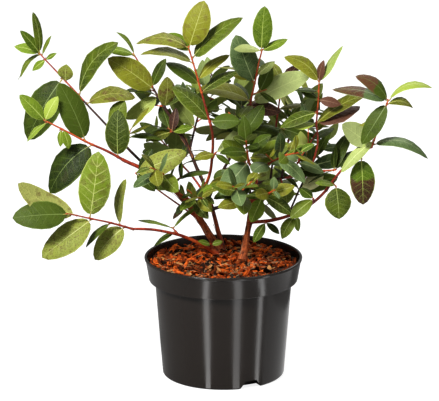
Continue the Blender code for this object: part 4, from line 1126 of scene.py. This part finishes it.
def side_twig(arc, pairs, index, growth, grown, twigs, draw, hue):
    """Grow a short side twig with two pairs of small leaves."""
    share = node_at(arc, pairs.first + (0.75 - pairs.first) * (index + 0.5) / pairs.twigs)
    axis, across, over = frame_at(arc, share)
    outward = across * (1 if index % 2 else -1) + over * draw.uniform(0.2, 0.8)
    ahead = (axis * 0.6 + outward.normalized()).normalized()
    twig, room = bare_twig(arc, share, ahead, draw.uniform(14, 24), 1.7, 1.3)
    if growth.is_free(room):
        twigs.append(twig)
        growth.own.append(room)
        for along, size in ((0.55, 0.5), (1, 0.4)):
            paired_leaves(twig, along, draw.uniform(0, 180), pairs.longest * size, growth, grown, draw, hue)


def finer_twigs(spray, arc, growth, grown, twigs, draw):
    """Grow the thin twigs that fill the crown's body, each with a few small leaves."""
    for index in range(round(spray.reach / FINER_TWIG_PITCH)):
        hue = draw.choice(FILLING_HUES)
        share = node_at(arc, draw.uniform(0.05, 0.9))
        axis, across, over = frame_at(arc, share)
        ahead = (axis * 0.5 + spoke(across, over, draw.uniform(0, 2 * math.pi))).normalized()
        twig, room = bare_twig(arc, share, ahead, draw.uniform(10, 26), 1.4, 1.0)
        before = len(grown)
        if in_body(twig.tip) and growth.is_free(room):
            growth.own.append(room)
            for along, least, most in ((1, 30, 44), (0.5, 22, 34)):
                spin, longest = draw.uniform(0, 180), draw.uniform(least, most)
                paired_leaves(twig, along, spin, longest, growth, grown, draw, hue)
            if len(grown) > before:
                twigs.append(twig)
            else:
                growth.own.pop()


# Each hue of leaf: upper light, upper dark, underside, rib, then how strong its veins, freckles
# and blotches are.
HUES = {
    "mature": ((108, 124, 36), (50, 66, 12), (148, 162, 84), (164, 178, 96), 0.42, 0.0, 0.15),
    "deep": ((78, 96, 26), (30, 44, 8), (124, 142, 72), (116, 134, 62), 0.3, 0.0, 0.1),
    "fresh": ((120, 142, 40), (66, 92, 16), (160, 178, 84), (172, 188, 92), 0.35, 0.0, 0.0),
    "young": ((164, 182, 76), (116, 142, 38), (188, 202, 106), (200, 212, 124), 0.3, 0.0, 0.0),
    "olive": ((134, 136, 38), (80, 88, 18), (168, 176, 84), (178, 182, 92), 0.4, 0.15, 0.35),
    # This hue is grey-green for the leaves' waxy bloom, and its bluish tint is also painted sheen: reflected
    # light put into the colour.
    "cool": ((110, 130, 82), (58, 82, 40), (148, 164, 100), (160, 176, 116), 0.35, 0.0, 0.0),
    "pale": ((186, 198, 122), (148, 168, 82), (196, 210, 136), (206, 216, 142), 0.4, 0.1, 0.05),
    "cream": ((226, 226, 168), (196, 204, 126), (228, 228, 172), (228, 228, 170), 0.2, 0.0, 0.0),
    "veined": ((122, 142, 40), (76, 98, 22), (168, 182, 92), (196, 204, 120), 0.8, 0.1, 0.35),
    "freckled": ((146, 154, 66), (96, 110, 34), (164, 172, 90), (184, 190, 110), 0.5, 0.6, 0.35),
    "blotched": ((132, 136, 52), (86, 92, 26), (160, 164, 90), (186, 186, 104), 0.5, 0.4, 0.8),
    "bronze": ((108, 72, 56), (48, 30, 26), (134, 98, 82), (146, 110, 84), 0.35, 0.1, 0.1),
    "withered": ((134, 112, 78), (82, 62, 42), (150, 128, 96), (120, 92, 62), 0.4, 0.5, 0.5),
}
HUE_NAMES = tuple(HUES)
BLADE_SHARES = (0.07, 0.12, 0.22, 0.36, 0.52, 0.68, 0.83, 0.94)
BLADE_COLUMNS = (-1, -0.56, -0.1, 0.1, 0.56, 1, 0.1, -0.1)
COLUMN_KINDS = (0, 0, 2, 0, 0, 1, 2, 1)
FIRST_UNDERSIDE = 6
RIB_WIDTH = 0.55
STALK_SHARE = 0.12
STALK_RINGS = 4
SHARE_THAT_STAYS_GREEN = 0.45


def between(tree, value, low, high):
    """Return a soft step: 0 below one value and 1 above another."""
    return add_node(tree, "MapRange", {0: value, 1: low, 2: high}, interpolation_type="SMOOTHSTEP").outputs[0]


skin, given, result = pattern_group("leaf_blade", ("Light", "Dark", "Vein", "Spot"),
                                    ("Veins", "Freckles", "Blotches"))
seen = add_node(skin, "TexCoord").outputs["Object"]
blade_map = add_node(skin, "SeparateXYZ", {0: add_node(skin, "UVMap", uv_map="blade").outputs[0]}).outputs
tone = add_node(skin, "Attribute", attribute_name="grain").outputs["Vector"]
tone, turned_brown, _ = add_node(skin, "SeparateXYZ", {0: tone}).outputs
across = maths(skin, "ABSOLUTE", maths(skin, "MULTIPLY_ADD", blade_map[0], 2.0, -1.0))
cloud = mottle(skin, seen, 55.0, 3.0)
patch = mottle(skin, seen, 120.0, 4.0)
speck = mottle(skin, seen, 420.0, 3.0)
cells = add_node(skin, "TexVoronoi", {"Vector": seen, "Scale": 480.0}, feature="DISTANCE_TO_EDGE")
cells = maths(skin, "MULTIPLY", cells.outputs["Distance"], 2.5)
slant = maths(skin, "MULTIPLY_ADD", across, -0.16, blade_map[1])
slant = maths(skin, "MULTIPLY_ADD", cloud, 0.05, slant)
vein = maths(skin, "PINGPONG", maths(skin, "MULTIPLY", slant, 7.5), 0.5)
vein = maths(skin, "SUBTRACT", 1.0, between(skin, vein, 0.0, 0.14))
vein = maths(skin, "MULTIPLY", vein, between(skin, across, 1.0, 0.35))
vein = maths(skin, "MULTIPLY", vein, given["Veins"])
net = maths(skin, "SUBTRACT", 1.0, between(skin, cells, 0.0, 0.5))
net = maths(skin, "MULTIPLY", net, between(skin, cloud, 0.4, 0.6))
net = maths(skin, "MULTIPLY", net, given["Veins"])
shade = maths(skin, "ADD", maths(skin, "MULTIPLY", cloud, 0.9), tone)
shade = between(skin, maths(skin, "MULTIPLY_ADD", cells, 0.2, shade), 0.3, 0.95)
autumn = blend(skin, shade, colour(112, 74, 50), colour(54, 32, 24))
turning = maths(skin, "MULTIPLY_ADD", maths(skin, "SUBTRACT", cloud, 0.5), 1.6, turned_brown)
turning = maths(skin, "MULTIPLY", between(skin, turning, 0.4, 0.6), between(skin, turned_brown, 0.0, 0.1))
green = blend(skin, shade, given["Light"], given["Dark"])
for amount, strength, over in ((between(skin, patch, 0.52, 0.66), given["Blotches"], given["Spot"]),
                               (between(skin, speck, 0.54, 0.64), given["Freckles"], given["Spot"]),
                               (turning, 1.0, autumn), (net, 0.35, given["Vein"]), (vein, 0.65, given["Vein"]),
                               (between(skin, across, 0.9, 0.98), 0.6, given["Vein"])):
    green = blend(skin, maths(skin, "MULTIPLY", amount, strength), green, over)
height = maths(skin, "MULTIPLY_ADD", speck, 0.25, maths(skin, "MULTIPLY", cells, -0.6))
feed(skin, result, Color=green, Height=maths(skin, "MULTIPLY_ADD", vein, -1.6, height))

leaf_finishes = []
for name, (*tones, veins, freckles, blotches) in HUES.items():
    light, dark, under, rib = [colour(*values) for values in tones]
    darker = [v * 0.75 for v in under[:3]] + [1]
    for side, pale, deep, spots, roughness in (("leaf", light, dark, 1, 0.46),
                                               ("under", under, darker, 0.6, 0.6)):
        values = {"Light": pale, "Dark": deep, "Vein": rib, "Spot": colour(96, 66, 42), "Veins": veins,
                  "Freckles": freckles * spots, "Blotches": blotches * spots}
        leaf_finishes.append(patterned(f"{side}_{name}", skin, values, 0.6, 0.0005, Roughness=roughness,
                                       Specular_IOR_Level=0.16))
    leaf_finishes.append(blank_material(f"rib_{name}", Base_Color=rib, Roughness=0.5)[0])


def blade_width(share, length):
    """Return a leaf's width at a share of its length, 1 at its widest: long old leaves are blunter."""
    run = min(max((share - 0.06) / 0.94, 0), 1)
    blunt = min(max((length - 28) / 26, 0), 1)
    return math.sin(math.pi * run ** (0.93 - 0.07 * blunt)) ** (0.80 - 0.22 * blunt)


def leaf_shape(leaf, draw, turns):
    """Return a leaf: an arched blade whose margins roll down, with its rib, its kinds of face and its map."""
    side = leaf.normal.cross(leaf.ahead)
    twist, sweep = math.radians(draw.uniform(-18, 18)), leaf.sweep + draw.uniform(-0.03, 0.03)
    wave, phase, waves = draw.uniform(0.01, 0.04), draw.uniform(0, 6.28), draw.uniform(1.2, 2.2)
    droop, roll = draw.uniform(-0.01, 0.06), draw.uniform(0.2, 0.42)
    tone = draw.uniform(-0.3, 0.3)
    points, corners, tones = [], [], []
    for share in BLADE_SHARES:
        brown = min(max((share - SHARE_THAT_STAYS_GREEN) * 2.5 + 0.5, 0), 1) if turns else 0
        tones += [(tone, brown, 0)] * len(BLADE_COLUMNS)
        bend = leaf.length * 4 * share * (1 - share)
        rib = leaf.root + leaf.ahead * (share * leaf.length) + (leaf.normal * leaf.curl + side * sweep) * bend
        rib -= leaf.normal * (droop * leaf.length * max(0, share - 0.55))
        turn = Matrix.Rotation(twist * (share - 0.35), 3, leaf.ahead)
        out, up = turn @ side, turn @ leaf.normal
        half = max(leaf.breadth * leaf.length * blade_width(share, leaf.length) / 2, 0.45)
        ridge = min(RIB_WIDTH * (1.15 - share), half * 0.4) / half
        for column, u in enumerate(BLADE_COLUMNS):
            if abs(u) < 0.5:
                u = math.copysign(ridge, u)
            lift = half * (leaf.fold * abs(u) ** 1.2 - roll * abs(u) ** 3)
            ripple = wave * half * 2 * math.sin(waves * 2 * math.pi * share + phase + u)
            lift += ripple * (1 if abs(u) == 1 else 0.35 if abs(u) > 0.5 else 0)
            if abs(u) <= ridge:
                lift += -0.35 if column >= FIRST_UNDERSIDE else -0.05
            points.append(rib + out * (u * half) + up * (lift + 0.12))
            corners.append((0.5 + u / 2, share))
    points.append(leaf.root + leaf.ahead * leaf.length - leaf.normal * (droop * leaf.length * 0.45))
    corners.append((0.5, 1.0))
    tones.append(tones[-1])
    faces = tube_faces(len(BLADE_SHARES), len(BLADE_COLUMNS), True)
    return points, faces, [2] + list(COLUMN_KINDS) * len(BLADE_SHARES), corners, tones


def stalk_shape(leaf):
    """Return a leaf's short stalk, from inside its stem to the foot of the blade."""
    bend = leaf.length * 4 * STALK_SHARE * (1 - STALK_SHARE)
    side = leaf.normal.cross(leaf.ahead)
    tip = leaf.root + leaf.ahead * (STALK_SHARE * leaf.length)
    tip += (leaf.normal * leaf.curl + side * leaf.sweep) * bend
    thick = 0.9 + 0.008 * leaf.length
    arc = Arc(leaf.root, leaf.root + leaf.ahead * (leaf.length * 0.05) + leaf.normal * 0.2,
              tip - leaf.normal * 0.15, thick * 1.3, thick * 0.7, side)
    points = [point for step in range(STALK_RINGS) for point in ring(arc, step / (STALK_RINGS - 1), 6)]
    return points, tube_faces(STALK_RINGS, 6)


def bud_shape(root, ahead, length, thick):
    """Return a pointed bud with a waist."""
    side = square_to(Vector((0.3, 0.2, 1)), ahead)
    over = ahead.cross(side)
    points = [root + ahead * share * length + spoke(side, over, math.pi * index / 3) * thick * wide
              for share, wide in ((0, 0.5), (0.3, 1), (0.7, 0.7)) for index in range(6)]
    return points + [root + ahead * length], tube_faces(3, 6, True)


growth = Growth()
for limb in LIMBS:
    arc = arcs[limb.name]
    growth.others.append(BVHTree.FromPolygons(*plain_tube(arc, 7, 6, 0, course(arc, 0))))
for spray in SPRAYS:
    foot, normal = seat(spray, arcs)
    arcs[spray.name] = bow(foot, spray)
    room = plain_tube(arcs[spray.name], SPRAY_SIDES, SPRAY_STEPS, BUD, normal)
    growth.others.append(BVHTree.FromPolygons(*room))

finer = random.Random("finer growth")
sprays_grown = []
for spray in SPRAYS:
    arc = arcs[spray.name]
    draw = random.Random(spray.name)
    grown, twigs = [], []
    set_leaves(spray, arc, growth, grown, draw)
    nodes = [node_at(arc, leaf.along) for leaf in spray.leaves]
    if spray.pairs:
        pairs = spray.pairs
        for index in range(pairs.count):
            step = index / max(pairs.count - 1, 1)
            share = pairs.first + (1 - pairs.first) * step ** 0.85
            nodes.append(node_at(arc, share))
            paired_leaves(arc, share, pairs.spin + 90 * index, pairs.longest * (1 - 0.5 * step * step),
                          growth, grown, draw, finer.choice(spray.hues))
        for index in range(pairs.twigs):
            side_twig(arc, pairs, index, growth, grown, twigs, draw, finer.choice(spray.hues))
    growth.close()
    sprays_grown.append((spray, arc, nodes, grown, twigs))

growth.filling = True
for spray, arc, nodes, grown, twigs in sprays_grown:
    finer_twigs(spray, arc, growth, grown, twigs, finer)
    growth.close()

crowns = {group: (Heap(), Heap(), []) for group in ("left", "centre", "right", "rear")}
for spray, arc, nodes, grown, twigs in sprays_grown:
    leaves, shoots, replaced = crowns[spray.group]
    replaced.append(spray.name)
    nodes = sorted(set(round(share, 2) for share in nodes))
    shape = stem_shape(spray, arc, sunk(spray, arcs), [share for share in nodes if share < 0.97], SHOOT_MAKE)
    shoots.add(shape[0], shape[1], bark_slots(spray.bark.replace("pale", "orange"), shape[2]), shape[3])
    shoots.add(*bud_shape(arc.tip, course(arc, 1), BUD, 0.8), BARKS.index("orange"))
    for twig in twigs:
        points, faces = plain_tube(twig, 7, 4, 1.6, course(twig, 0))
        shoots.add(points, faces, BARKS.index("orange"), [tuple(p) for p in points])
    for leaf, hue in grown:
        hue, _, turned_hue = hue.partition("/")
        points, faces, kinds, corners, tones = leaf_shape(leaf, finer, bool(turned_hue))
        leaves.add(points, faces, [3 * HUE_NAMES.index(hue) + kind for kind in kinds], tones, corners)
        points, faces = stalk_shape(leaf)
        shoots.add(points, faces, len(BARKS), [tuple(p) for p in points])
        aim = (leaf.ahead + course(arc, 1)).normalized()
        points, faces = bud_shape(leaf.root + aim * leaf.radius * 0.6, aim, finer.uniform(2.2, 3.4), 0.65)
        shoots.add(points, faces, BARKS.index("red"), [tuple(p) for p in points])

stalk_green = blank_material("stalk_green", Base_Color=colour(176, 158, 84), Roughness=0.5)[0]
for group, (leaves, shoots, replaced) in crowns.items():
    for heap, name, slot, finishes in ((leaves, f"leaves_{group}", "foliage", leaf_finishes),
                                       (shoots, f"shoots_{group}", "stem_bark", bark_finishes + [stalk_green])):
        made = heap.build(name, finishes)
        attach(made, "root")
        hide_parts(*replaced)
